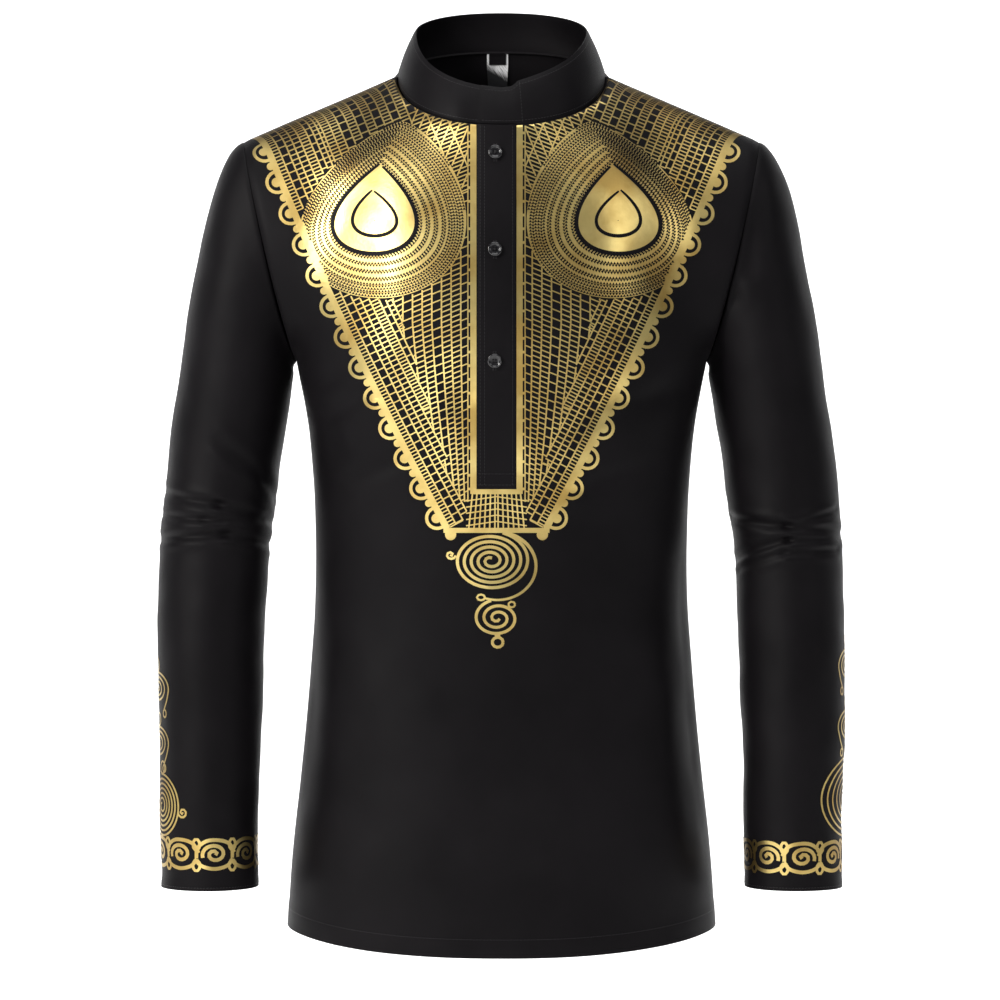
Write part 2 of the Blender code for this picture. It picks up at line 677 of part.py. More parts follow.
def make_sleeve(name, side, material):
    turns = [360 * k / SLEEVE_COLUMNS for k in range(SLEEVE_COLUMNS)]
    cap = [[sleeve_cap_point(side, turn, t) for turn in turns] for t in np.linspace(0, 1, 9)]
    tube = [[sleeve_point(side, turn, height) for turn in turns] for height in sleeve_heights()]
    outer = np.array((cap + tube)[::-1])
    if side < 0:
        outer = outer[:, ::-1]
    outer = outer[:, ::-1]
    inner = outer - grid_normals(outer, True) * CLOTH
    edge = np.maximum(np.abs(inner[-1, :, 0]), np.abs(outer[-1, :, 0]))
    inner[-1, :, 0] = side * edge
    return wall_object(name, outer, inner, material, wraps=True)


def make_collar(material):
    """One band round the neck, on the panels' own columns: its left end laps over its right end in front."""
    front = [90 * u / NECK_SHARE for u in front_shares(2) if abs(u) <= NECK_SHARE + 1e-9]
    middle = len(front) // 2
    lap = np.linspace(front[middle - 1], front[middle + 1], PLACKET_COLUMNS + 1)
    left, right = front[middle + 1 :], front[: middle]
    back = [90 + 90 * step / BACK_NECK_COLUMNS for step in range(1, 2 * BACK_NECK_COLUMNS)]
    turns = [*lap[:-1], *left, *back, *(360 + turn for turn in right[:-1]), *(360 + lap)]
    shares = np.linspace(0, 1, COLLAR_ROWS + 1)
    outer = np.array([[collar_ring_point(turn, share) for turn in turns] for share in shares])
    inner = outer - grid_normals(outer, False) * COLLAR_CLOTH
    inner[0, :, 2] = np.maximum(inner[0, :, 2], outer[0, :, 2])
    return wall_object("collar", outer, inner, material)


def main():
    clear_scene()
    black_cloth = cloth_material("black_cloth", (0.012, 0.011, 0.012), 0.55)
    black_button = cloth_material("black_button", (0.010, 0.010, 0.011), 0.15)
    grey_label = cloth_material("grey_label", (0.45, 0.45, 0.46), 0.6)
    make_front(black_cloth)
    back_inside = make_back(black_cloth)
    make_sleeve("sleeve_left", 1, black_cloth)
    make_sleeve("sleeve_right", -1, black_cloth)
    make_collar(black_cloth)
    placket = make_plackets(black_cloth)
    make_buttons(black_button, placket)
    make_label(grey_label, back_inside)


main()
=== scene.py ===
"""A long-sleeved black dashiki shirt with a gold foil print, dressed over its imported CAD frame.

The shirt faces -Y, +X is the wearer's left and +Z is up. The origin lies between the neck ends of the
two shoulder seams. Sizes are in metres.
"""

import math
from collections import namedtuple

import bmesh
import bpy
import numpy as np
from mathutils import Matrix, Vector, noise


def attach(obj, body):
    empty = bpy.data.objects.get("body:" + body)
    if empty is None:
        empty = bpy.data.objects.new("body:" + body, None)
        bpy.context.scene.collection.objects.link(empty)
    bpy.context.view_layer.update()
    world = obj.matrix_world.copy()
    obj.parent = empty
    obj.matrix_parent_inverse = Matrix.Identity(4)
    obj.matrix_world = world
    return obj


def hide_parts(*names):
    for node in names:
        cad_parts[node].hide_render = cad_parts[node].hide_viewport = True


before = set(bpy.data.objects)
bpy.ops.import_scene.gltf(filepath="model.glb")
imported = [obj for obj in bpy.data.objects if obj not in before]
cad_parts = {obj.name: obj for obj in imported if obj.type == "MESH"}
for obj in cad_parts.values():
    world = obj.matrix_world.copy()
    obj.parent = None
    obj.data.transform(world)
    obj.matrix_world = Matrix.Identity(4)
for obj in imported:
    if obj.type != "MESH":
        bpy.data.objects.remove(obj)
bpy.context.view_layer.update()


# The studio: a level camera in front of the chest, a white sweep under and behind the shirt, a large soft
# light high on the viewer's left, and a weaker one on the right.
CAMERA_DISTANCE = 2.8
CAMERA_HEIGHT = -0.358
PICTURE_WIDTH = 0.84
FLOOR_HEIGHT = -0.80
SWEEP_IN_FRONT = 6.0
SWEEP_BEHIND = 4.2
SWEEP_RADIUS = 0.8
SWEEP_STEPS = 12
SWEEP_WALL = 5.0
SWEEP_HALF_WIDTH = 7.0


def put_in_scene(name, data):
    """An object for a mesh, a light or a camera, with its origin at the shirt's."""
    piece = bpy.data.objects.new(name, data)
    bpy.context.collection.objects.link(piece)
    return piece


def feed(node, inputs):
    """Sets a node's inputs, each to a constant or linked to the socket that is given for it."""
    for name, value in inputs.items():
        if isinstance(value, bpy.types.NodeSocket):
            node.id_data.links.new(value, node.inputs[name])
        else:
            node.inputs[name].default_value = value
    return node


def add_node(tree, kind, inputs=None, **settings):
    node = tree.nodes.new(kind)
    for name, value in settings.items():
        setattr(node, name, value)
    return feed(node, inputs or {})


def new_finish(name, values):
    """A material with its tree and its shader, which takes the values."""
    material = bpy.data.materials.new(name)
    material.use_nodes = True
    shader = feed(material.node_tree.nodes["Principled BSDF"], values)
    return material, material.node_tree, shader


def soft_light(name, place, aim, width, watts, colour=(1.0, 1.0, 1.0)):
    data = bpy.data.lights.new(name, "AREA")
    data.shape = "RECTANGLE"
    data.size = width
    data.size_y = width * 1.4
    data.energy = watts
    data.color = colour
    light = put_in_scene(name, data)
    light.location = place
    light.rotation_euler = (Vector(aim) - Vector(place)).to_track_quat("-Z", "Y").to_euler()


def white_paper():
    """Backdrop paper that glows behind the shirt and hardly at all in front of it."""
    values = {
        "Base Color": (0.92, 0.92, 0.92, 1.0),
        "Roughness": 0.9,
        "Emission Color": (1.0, 1.0, 1.0, 1.0),
    }
    paper, tree, shader = new_finish("white_paper", values)
    place = add_node(tree, "ShaderNodeTexCoord")
    split = add_node(tree, "ShaderNodeSeparateXYZ", {"Vector": place.outputs["Object"]})
    glow = {"Value": split.outputs["Y"], "From Min": -0.5, "From Max": 0.1, "To Min": 0.08, "To Max": 0.85}
    behind = add_node(tree, "ShaderNodeMapRange", glow)
    feed(shader, {"Emission Strength": behind.outputs["Result"]})
    return paper


def plain_sweep():
    """A floor that curves up into a backdrop behind the shirt."""
    profile = [(-SWEEP_IN_FRONT, FLOOR_HEIGHT), (SWEEP_BEHIND, FLOOR_HEIGHT)]
    for step in range(1, SWEEP_STEPS + 1):
        angle = step / SWEEP_STEPS * math.pi / 2
        back = SWEEP_BEHIND + SWEEP_RADIUS * math.sin(angle)
        profile.append((back, FLOOR_HEIGHT + SWEEP_RADIUS * (1 - math.cos(angle))))
    profile.append((SWEEP_BEHIND + SWEEP_RADIUS, FLOOR_HEIGHT + SWEEP_WALL))
    verts = [(x, y, z) for x in (-SWEEP_HALF_WIDTH, SWEEP_HALF_WIDTH) for y, z in profile]
    count = len(profile)
    faces = [(k, count + k, count + k + 1, k + 1) for k in range(count - 1)]
    data = bpy.data.meshes.new("studio_sweep")
    data.from_pydata(verts, [], faces)
    data.shade_smooth()
    data.materials.append(white_paper())
    return put_in_scene("studio_sweep", data)


camera_data = bpy.data.cameras.new("studio_camera")
camera_data.sensor_width = 36.0
camera_data.lens = camera_data.sensor_width * CAMERA_DISTANCE / PICTURE_WIDTH
camera_data.shift_x = -0.0015
camera = put_in_scene("studio_camera", camera_data)
camera.location = (0.0, -CAMERA_DISTANCE, CAMERA_HEIGHT)
camera.rotation_euler = (math.pi / 2, 0.0, 0.0)
bpy.context.scene.camera = camera

soft_light("key_light", (-2.2, -1.9, 1.0), (-0.05, 0.0, -0.20), 0.9, 80.0, (1.0, 0.98, 0.95))
soft_light("fill_light", (2.1, -1.9, 1.15), (0.0, 0.0, -0.25), 1.0, 12.0)
soft_light("front_light", (-1.0, -2.9, -0.6), (-0.05, 0.0, -0.30), 0.6, 7.0)
soft_light("top_light", (0.0, -0.3, 2.2), (0.0, 0.0, -0.1), 1.8, 42.0)
plain_sweep()

world = bpy.data.worlds.new("studio_air")
bpy.context.scene.world = world
world.use_nodes = True
feed(world.node_tree.nodes["Background"], {"Color": (0.80, 0.82, 0.86, 1.0), "Strength": 0.16})
bpy.context.scene.view_settings.view_transform = "Standard"


# The front: one panel of black cotton sateen from the hem to the shoulder seams, with a slot down from
# the neckline for the half placket. It is sewn to the back, the sleeves, the collar and the plackets.
CLOTH = 0.0009
SEAM_GAP = 0.0003
SEAM_ROLL = 0.0007
HEM_DEPTH = 0.017
HEM_PROUD = 0.0004

Section = namedtuple("Section", "height half_width front_depth back_depth")
TORSO = [
    Section(-0.712, 0.1790, 0.119, 0.117),
    Section(-0.643, 0.1743, 0.114, 0.111),
    Section(-0.593, 0.1688, 0.109, 0.105),
    Section(-0.543, 0.1638, 0.104, 0.099),
    Section(-0.492, 0.1596, 0.100, 0.093),
    Section(-0.442, 0.1562, 0.098, 0.088),
    Section(-0.391, 0.1556, 0.099, 0.086),
    Section(-0.341, 0.1575, 0.104, 0.089),
    Section(-0.291, 0.1625, 0.111, 0.096),
    Section(-0.242, 0.1718, 0.116, 0.103),
]
TORSO_FULLNESS = 0.87
HEM_HEIGHT = TORSO[0].height
UNDERARM_HEIGHT = TORSO[-1].height
FRONT_HEM_DROP = 0.015
BACK_HEM_DROP = 0.018
HEM_FULLNESS = 1.6

NECK_HALF_WIDTH = 0.0875
NECK_FRONT_DEPTH = 0.090
NECK_BACK_DEPTH = 0.055
NECK_SIDE_HEIGHT = -0.002
NECK_FRONT_DROP = 0.051
NECK_BACK_RISE = 0.027
NECK_FULLNESS = 0.92
SHOULDER_HALF_WIDTH = 0.216
SHOULDER_SLOPE = 0.43
ARMHOLE_FRONT_DEPTH = 0.056
ARMHOLE_BACK_DEPTH = 0.060
ARMHOLE_LEAN = 0.85
NECK_SHARE = 5 / 12
CENTRE_ROLL = 0.16
NECK_ROLL = 0.86
ARMHOLE_ROLL = 0.76
NECK_FAN = 26.0
SLOT_LEFT = -0.0199
SLOT_RIGHT = 0.0117
SLOT_BOTTOM = -0.349

Fold = namedtuple("Fold", "x0 z0 x1 z1 depth width")
FRONT_FOLDS = [
    Fold(-0.176, -0.150, -0.170, -0.225, 0.0060, 0.012),
    Fold(-0.160, -0.268, -0.112, -0.240, 0.0030, 0.009),
    Fold(-0.156, -0.296, -0.106, -0.272, 0.0030, 0.009),
    Fold(-0.146, -0.300, -0.128, -0.330, 0.0030, 0.012),
    Fold(-0.100, -0.268, -0.052, -0.298, 0.0025, 0.008),
    Fold(-0.046, -0.292, -0.020, -0.270, 0.0020, 0.008),
    Fold(0.150, -0.185, 0.112, -0.250, 0.0040, 0.012),
    Fold(0.156, -0.262, 0.096, -0.285, 0.0030, 0.010),
    Fold(0.104, -0.262, 0.062, -0.300, 0.0025, 0.009),
    Fold(0.150, -0.420, 0.164, -0.640, 0.0040, 0.016),
    Fold(-0.158, -0.480, -0.166, -0.640, 0.0030, 0.014),
    Fold(-0.162, -0.205, -0.128, -0.160, 0.0035, 0.010),
    Fold(-0.148, -0.232, -0.120, -0.190, 0.0030, 0.009),
    Fold(0.158, -0.215, 0.122, -0.176, 0.0030, 0.010),
    Fold(-0.128, -0.345, -0.070, -0.318, 0.0024, 0.008),
    Fold(0.118, -0.330, 0.060, -0.352, 0.0022, 0.008),
    Fold(-0.080, -0.090, -0.050, -0.150, 0.0016, 0.010),
    Fold(0.076, -0.088, 0.044, -0.155, 0.0018, 0.010),
]
FRONT_NECK_COLUMNS = 30
FRONT_SHOULDER_COLUMNS = 28
SLOT_COLUMNS = 6
LOWER_FRONT_ROWS = 84
SLOT_ROWS = 26
CHEST_ROWS = 60
BACK_SHARE_COLUMNS = 26


def hermite(start, start_pull, end, end_pull, t):
    """A cubic from start to end that leaves along start_pull and arrives along end_pull."""
    return (
        (2 * t**3 - 3 * t**2 + 1) * start
        + (t**3 - 2 * t**2 + t) * start_pull
        + (3 * t**2 - 2 * t**3) * end
        + (t**3 - t**2) * end_pull
    )


def read_column(rows, column, height):
    """One column of a table of sections at each height, on a smooth curve through its rows."""
    heights = np.array([row.height for row in rows])
    values = np.array([getattr(row, column) for row in rows])
    slopes = np.gradient(values, heights)
    i = np.clip(np.searchsorted(heights, height) - 1, 0, len(rows) - 2)
    span = heights[i + 1] - heights[i]
    share = (height - heights[i]) / span
    return hermite(values[i], slopes[i] * span, values[i + 1], slopes[i + 1] * span, share)


def smooth(t):
    t = np.clip(t, 0.0, 1.0)
    return t * t * (3 - 2 * t)


def rounded(value, fullness):
    """A sine or cosine raised so that a section is fuller than an ellipse."""
    return np.copysign(np.abs(value) ** fullness, value)


def points(x, y, z):
    return np.stack(np.broadcast_arrays(x, y, z), axis=-1).astype(float)


def torso_points(u, height, facing):
    """Points round the torso: u runs from -1 to 1 across a panel; facing is -1 in front, 1 at the back."""
    angle = u * math.pi / 2
    depth = read_column(TORSO, "front_depth" if facing < 0 else "back_depth", height)
    return points(
        read_column(TORSO, "half_width", height) * rounded(np.sin(angle), TORSO_FULLNESS),
        facing * depth * rounded(np.cos(angle), TORSO_FULLNESS),
        height,
    )


def top_line_points(u, facing):
    """A panel's top edge: the neckline inside NECK_SHARE and the shoulder seam outside it."""
    side = np.copysign(1.0, u)
    reach = np.abs(u)
    angle = np.minimum(reach / NECK_SHARE, 1.0) * math.pi / 2
    across = rounded(np.sin(angle), NECK_FULLNESS)
    towards = rounded(np.maximum(np.cos(angle), 0.0), NECK_FULLNESS)
    depth = NECK_FRONT_DEPTH if facing < 0 else NECK_BACK_DEPTH
    rise = -NECK_FRONT_DROP if facing < 0 else NECK_BACK_RISE
    height = NECK_SIDE_HEIGHT + rise * towards
    neck = points(side * NECK_HALF_WIDTH * across, facing * depth * towards, height)
    share = np.maximum(reach - NECK_SHARE, 0.0) / (1 - NECK_SHARE)
    x = NECK_HALF_WIDTH + share * (SHOULDER_HALF_WIDTH - NECK_HALF_WIDTH)
    shoulder = points(side * x, 0.0, NECK_SIDE_HEIGHT - SHOULDER_SLOPE * (x - NECK_HALF_WIDTH))
    return np.where((reach <= NECK_SHARE)[..., None], neck, shoulder)


def armhole_points(side, turn):
    """The armhole seam: turn is 0 at the shoulder, 90 in front, 180 at the underarm and 270 behind."""
    top = NECK_SIDE_HEIGHT - SHOULDER_SLOPE * (SHOULDER_HALF_WIDTH - NECK_HALF_WIDTH)
    angle = np.radians(turn)
    height = (top + UNDERARM_HEIGHT) / 2 + (top - UNDERARM_HEIGHT) / 2 * np.cos(angle)
    climb = np.maximum(0.0, (height - UNDERARM_HEIGHT) / (top - UNDERARM_HEIGHT)) ** ARMHOLE_LEAN
    underarm_x = TORSO[-1].half_width
    depth = np.where(np.sin(angle) > 0, ARMHOLE_FRONT_DEPTH, ARMHOLE_BACK_DEPTH)
    x = underarm_x + (SHOULDER_HALF_WIDTH - underarm_x) * climb
    return points(side * x, -depth * np.sin(angle), height)


def rolled_column(u, climb, facing):
    """A chest or upper back column: it rises from the underarm row and rolls over to the top line."""
    foot = torso_points(u, np.full_like(u, UNDERARM_HEIGHT), facing)
    below = torso_points(u, np.full_like(u, UNDERARM_HEIGHT - 0.01), facing)
    top = top_line_points(u, facing)
    length = (top[..., 2] - foot[..., 2])[..., None]
    reach = np.abs(u)
    inside = reach <= NECK_SHARE
    near = smooth(np.where(inside, reach / NECK_SHARE, (1 - reach) / (1 - NECK_SHARE)))
    start = np.where(inside, CENTRE_ROLL, ARMHOLE_ROLL)
    roll = start + (NECK_ROLL - start) * near ** np.where(inside, 1.5, 0.8)
    fan = math.radians(NECK_FAN) * near
    lift = np.where(inside, 0.80 - 0.62 * near, 0.04 + 0.14 * near)
    top_pull = length * points(-np.copysign(roll * np.sin(fan), u), -facing * roll * np.cos(fan), lift)
    return hermite(foot, (foot - below) / 0.01 * length, top, top_pull, climb[..., None])


def upper_panel_points(u, climb, facing):
    point = rolled_column(u, climb, facing)
    hold = smooth((np.abs(u) - 0.55) / 0.45)[..., None]
    side = np.copysign(1.0, u)
    turn = 180 * (1 - climb) if facing < 0 else 180 + 180 * climb
    return point + hold * (armhole_points(side, turn) - rolled_column(side, climb, facing))


def fold_depth(folds, x, z):
    """How far the folds press each point of a panel inwards."""
    pressed = np.zeros_like(x)
    for fold in folds:
        along_x, along_z = fold.x1 - fold.x0, fold.z1 - fold.z0
        length = math.hypot(along_x, along_z)
        t = ((x - fold.x0) * along_x + (z - fold.z0) * along_z) / length**2
        off = ((x - fold.x0) * along_z - (z - fold.z0) * along_x) / length
        past = np.maximum(0.0, np.maximum(-t, t - 1)) * length
        near = np.exp(-((off / fold.width) ** 2) - (past / (1.5 * fold.width)) ** 2)
        pressed += fold.depth * near * (0.35 + 0.65 * np.sin(math.pi * np.clip(t, 0.0, 1.0)))
    return pressed


def panel_points(u, level, facing, folds):
    """Points of the front or back: level is 0 at the hem, 1 at the underarm and 2 at the top line."""
    low = np.minimum(level, 1.0)
    lower = torso_points(u, HEM_HEIGHT + low * (UNDERARM_HEIGHT - HEM_HEIGHT), facing)
    drop = FRONT_HEM_DROP if facing < 0 else BACK_HEM_DROP
    lower[..., 2] -= drop * np.abs(np.cos(u * math.pi / 2)) ** HEM_FULLNESS * (1 - low) ** 4
    upper = upper_panel_points(u, np.maximum(level - 1, 0.0), facing)
    point = np.where((level <= 1)[..., None], lower, upper)
    fade = smooth((1 - np.abs(u)) / 0.18) * smooth((2 - level) / 0.15)
    inward = fold_depth(folds, point[..., 0], point[..., 2]) * fade
    angle = u * math.pi / 2
    point[..., 0] -= inward * np.sin(angle)
    point[..., 1] -= facing * (inward * np.cos(angle) - SEAM_GAP / 2)
    return point


def level_at(height):
    return (height - HEM_HEIGHT) / (UNDERARM_HEIGHT - HEM_HEIGHT)


def share_at(x, level, facing):
    """The u at which each row of a panel reaches x in the neck columns, found by halving."""
    low, high = np.zeros_like(level), np.full_like(level, NECK_SHARE)
    for _ in range(26):
        middle = (low + high) / 2
        short = panel_points(middle, level, facing, FRONT_FOLDS)[..., 0] < abs(x)
        low, high = np.where(short, middle, low), np.where(short, high, middle)
    return np.copysign((low + high) / 2, x)


def grid_normals(grid, wraps=False):
    """Outward normals of a grid of points, from its rows and columns; a wrapped grid closes on itself."""
    if wraps:
        across = np.roll(grid, -1, axis=1) - np.roll(grid, 1, axis=1)
    else:
        across = np.gradient(grid, axis=1)
    normals = np.cross(across, np.gradient(grid, axis=0))
    return normals / np.maximum(np.linalg.norm(normals, axis=2, keepdims=True), 1e-12)


def soft_swell(grid, size, depth, seed):
    """Gentle unevenness of hanging cloth: how far each point of a grid stands out."""
    flat = grid.reshape(-1, 3) / size
    shift = Vector((seed * 7.3, seed * 3.1, seed * 5.7))
    swell = [noise.noise(Vector(point) + shift) for point in flat]
    return np.array(swell).reshape(grid.shape[:2]) * depth


def cloth_wall(name, outer, inner, material, wraps=False, left_out=None):
    """A closed wall between an outer and an inner grid, with its grain in metres as its UV map."""
    rows, columns = outer.shape[:2]
    cells = columns if wraps else columns - 1
    kept = np.ones((rows - 1, cells), bool) if left_out is None else ~left_out
    closed = np.concatenate([outer, outer[:, :1]], axis=1) if wraps else outer
    step_x = np.linalg.norm(np.diff(closed, axis=1), axis=2)
    step_z = np.linalg.norm(np.diff(closed, axis=0), axis=2)
    grain_x = np.concatenate([np.zeros((rows, 1)), np.cumsum(step_x, axis=1)], axis=1)
    grain_x -= grain_x[:, grain_x.shape[1] // 2][:, None]
    grain_z = np.concatenate([np.zeros((1, closed.shape[1])), np.cumsum(step_z, axis=0)], axis=0)
    grain = np.stack([grain_x, grain_z], axis=-1).reshape(-1, 2)

    def cell_corners(number):
        return np.stack([number[:-1, :-1], number[:-1, 1:], number[1:, 1:], number[1:, :-1]], axis=-1)

    point_number = np.arange(rows * columns).reshape(rows, columns)
    if wraps:
        point_number = np.concatenate([point_number, point_number[:, :1]], axis=1)
    grain_number = np.arange(rows * closed.shape[1]).reshape(rows, -1)
    corners, grains = cell_corners(point_number), cell_corners(grain_number)
    skin = rows * columns
    padded = np.zeros((rows + 1, cells + 2), bool)
    padded[1:-1, 1:-1] = kept
    if wraps:
        padded[1:-1, 0], padded[1:-1, -1] = kept[:, -1], kept[:, 0]
    faces = [corners[kept], corners[kept][:, ::-1] + skin]
    face_grains = [grains[kept], grains[kept][:, ::-1]]
    for k, (up, right) in enumerate([(-1, 0), (0, 1), (1, 0), (0, -1)]):
        beyond = padded[1 + up : rows + up, 1 + right : cells + 1 + right]
        rim = kept & ~beyond
        a, b = corners[rim][:, k], corners[rim][:, (k + 1) % 4]
        faces.append(np.stack([b, a, a + skin, b + skin], axis=-1))
        ga, gb = grains[rim][:, k], grains[rim][:, (k + 1) % 4]
        face_grains.append(np.stack([gb, ga, ga, gb], axis=-1))
    faces, face_grains = np.concatenate(faces), np.concatenate(face_grains)
    used, renumbered = np.unique(faces, return_inverse=True)
    every_point = np.concatenate([outer.reshape(-1, 3), inner.reshape(-1, 3)])[used]
    data = bpy.data.meshes.new(name)
    data.from_pydata(every_point.tolist(), [], renumbered.reshape(-1, 4).tolist())
    layer = data.uv_layers.new(name="grain")
    layer.data.foreach_set("uv", grain[face_grains.reshape(-1)].reshape(-1).astype(np.float32))
    data.shade_smooth()
    data.set_sharp_from_angle(angle=math.radians(50))
    data.materials.append(material)
    return put_in_scene(name, data)


def shades_of(tree, factor, dark, pale, start=0.0, stop=1.0):
    """A ramp from a dark to a pale colour that follows a factor."""
    ramp = add_node(tree, "ShaderNodeValToRGB", {"Fac": factor})
    low, high = ramp.color_ramp.elements
    low.position, low.color = start, (*dark, 1.0)
    high.position, high.color = stop, (*pale, 1.0)
    return ramp.outputs["Color"]


def between(tree, factor, least, most):
    """A number that runs from least to most with a factor."""
    values = {"Value": factor, "To Min": least, "To Max": most}
    return add_node(tree, "ShaderNodeMapRange", values).outputs["Result"]


def mottled(tree, place, scale, detail=2.0):
    """Cloudy noise at a place."""
    values = {"Vector": place, "Scale": scale, "Detail": detail}
    return add_node(tree, "ShaderNodeTexNoise", values).outputs["Fac"]


def raised(tree, height, strength, distance):
    values = {"Height": height, "Strength": strength, "Distance": distance}
    return add_node(tree, "ShaderNodeBump", values).outputs["Normal"]


def woven_black():
    """Black cotton sateen: fine threads, a soft sheen and slight unevenness in its dye and gloss."""
    values = {
        "Sheen Weight": 0.02,
        "Sheen Roughness": 0.35,
        "Sheen Tint": (0.80, 0.78, 0.80, 1.0),
        "Specular IOR Level": 0.085,
    }
    material, tree, shader = new_finish("black_sateen", values)
    place = add_node(tree, "ShaderNodeTexCoord")
    threads = []
    for direction, scale in (("X", 640.0), ("Y", 520.0)):
        values = {"Vector": place.outputs["UV"], "Scale": scale, "Distortion": 0.6}
        wave = add_node(tree, "ShaderNodeTexWave", values, bands_direction=direction)
        threads.append(wave.outputs["Fac"])
    crossing = add_node(tree, "ShaderNodeMath", {0: threads[0], 1: threads[1]}, operation="MULTIPLY")
    dye = mottled(tree, place.outputs["Object"], 14.0, 4.0)
    shades = shades_of(tree, dye, (0.0042, 0.0036, 0.0043), (0.0064, 0.0055, 0.0065), 0.35, 0.70)
    grain = raised(tree, crossing.outputs["Value"], 0.22, 0.0002)
    feed(shader, {"Base Color": shades, "Roughness": between(tree, dye, 0.42, 0.56), "Normal": grain})
    return material


black_sateen = woven_black()


def hem_step(distance, depth, proud):
    """The turned hem stands a little proud, with its stitch line drawn in at its top."""
    inside = 1 - smooth((distance - depth) / 0.0015)
    stitched = np.exp(-(((distance - depth + 0.002) / 0.0012) ** 2))
    return proud * inside - 0.9 * proud * stitched


def eased(grid, freedom, rounds):
    """Lets stiff creases out of a grid of cloth: each free point settles between its neighbours."""
    grid = grid.copy()
    for _ in range(rounds):
        between = (grid[:-2, 1:-1] + grid[2:, 1:-1] + grid[1:-1, :-2] + grid[1:-1, 2:]) / 4
        grid[1:-1, 1:-1] += 0.5 * freedom[1:-1, 1:-1, None] * (between - grid[1:-1, 1:-1])
    return grid


def panel_walls(outer, facing, seed, freedom):
    """A panel's outer and inner grids, with its swell, its turned hem and its seams drawn in."""
    outer = eased(outer, freedom, 90)
    normals = grid_normals(outer)
    rows, columns = outer.shape[:2]
    across = np.minimum(np.arange(columns), np.arange(columns)[::-1])[None, :]
    up = np.arange(rows)[::-1][:, None]
    free = smooth(across / 8) * smooth(up / 8)
    swell = (soft_swell(outer, 0.085, 0.0022, seed) + soft_swell(outer, 0.030, 0.0006, seed + 1)) * free
    rise = np.linalg.norm(np.diff(outer, axis=0), axis=2)
    distance = np.concatenate([np.zeros((1, columns)), np.cumsum(rise, axis=0)], axis=0)
    stand = swell + hem_step(distance, HEM_DEPTH, HEM_PROUD)
    seam = np.maximum(1.0 - across / 1.6, 0.0) ** 2 + np.maximum(1.0 - up / 1.6, 0.0) ** 2
    stand = stand - SEAM_ROLL * np.minimum(seam, 1.0)
    outer = outer + normals * stand[..., None]
    inner = outer - normals * CLOTH
    limit = SEAM_GAP / 2
    inner[..., 1] = np.minimum(inner[..., 1], -limit) if facing < 0 else np.maximum(inner[..., 1], limit)
    return outer, inner


def front_levels():
    below = np.linspace(0.0, level_at(SLOT_BOTTOM), LOWER_FRONT_ROWS + 1)[:-1]
    slot = np.linspace(level_at(SLOT_BOTTOM), 1.0, SLOT_ROWS + 1)
    chest = 1 + np.linspace(0.0, 1.0, CHEST_ROWS + 1)[1:]
    return np.concatenate([below, slot, chest])


def front_shares(levels):
    """The front's u at each row and column: those at the slot, then the neck's and the shoulders'."""
    left, right = share_at(SLOT_LEFT, levels, -1), share_at(SLOT_RIGHT, levels, -1)
    neck = np.linspace(0.0, 1.0, FRONT_NECK_COLUMNS + 1)[1:]
    shoulder = np.linspace(NECK_SHARE, 1.0, FRONT_SHOULDER_COLUMNS + 1)[1:]
    slot = np.linspace(0.0, 1.0, SLOT_COLUMNS + 1)
    rows = []
    for a, b in zip(left, right):
        outwards_left = a + (-NECK_SHARE - a) * neck
        outwards_right = b + (NECK_SHARE - b) * neck
        left_part = [*-shoulder[::-1], *outwards_left[::-1]]
        rows.append([*left_part, *(a + (b - a) * slot), *outwards_right, *shoulder])
    return np.array(rows)


levels = front_levels()
front_u = front_shares(levels)
front_grid = panel_points(front_u, levels[:, None] + 0 * front_u, -1, FRONT_FOLDS)
first_slot_column = FRONT_SHOULDER_COLUMNS + FRONT_NECK_COLUMNS


def chest_freedom(u, level, from_slot):
    """Where the upper cloth may ease: the chest and shoulders, away from the seams and the placket."""
    rows, columns = u.shape
    across = np.minimum(np.arange(columns), np.arange(columns)[::-1])[None, :]
    up = np.arange(rows)[::-1][:, None]
    inside = smooth((across - 1) / 5) * smooth((up - 3) / 8) * smooth(from_slot / 10)
    return smooth((level - 0.95) / 0.15) * inside


column_number = np.arange(front_u.shape[1])
beside_slot = np.minimum(
    np.abs(column_number - first_slot_column), np.abs(column_number - first_slot_column - SLOT_COLUMNS)
)
front_freedom = chest_freedom(front_u, levels[:, None] + 0 * front_u, beside_slot[None, :] - 1)
front_outer, front_inner = panel_walls(front_grid, -1, 1, front_freedom)
slot_cells = np.zeros((len(levels) - 1, front_u.shape[1] - 1), bool)
slot_cells[LOWER_FRONT_ROWS:, first_slot_column : first_slot_column + SLOT_COLUMNS] = True
front = cloth_wall("shirt_front", front_outer, front_inner, black_sateen, left_out=slot_cells)
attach(front, "root")
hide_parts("front")


# The back: one panel like the front, with no slot and a higher neckline. It is sewn to the front along the
# sides and the shoulders, and to the collar along its neckline.
BACK_FOLDS = [
    Fold(-0.168, -0.140, -0.150, -0.235, 0.0060, 0.014),
    Fold(0.168, -0.140, 0.150, -0.235, 0.0060, 0.014),
    Fold(-0.150, -0.255, -0.080, -0.300, 0.0040, 0.012),
    Fold(0.150, -0.260, 0.070, -0.310, 0.0040, 0.012),
    Fold(-0.120, -0.375, -0.010, -0.392, 0.0045, 0.012),
    Fold(0.125, -0.385, 0.020, -0.410, 0.0045, 0.012),
    Fold(-0.090, -0.430, -0.105, -0.640, 0.0040, 0.018),
    Fold(0.085, -0.440, 0.110, -0.650, 0.0040, 0.018),
]
BACK_NECK_COLUMNS = 30
LOWER_BACK_ROWS = 106

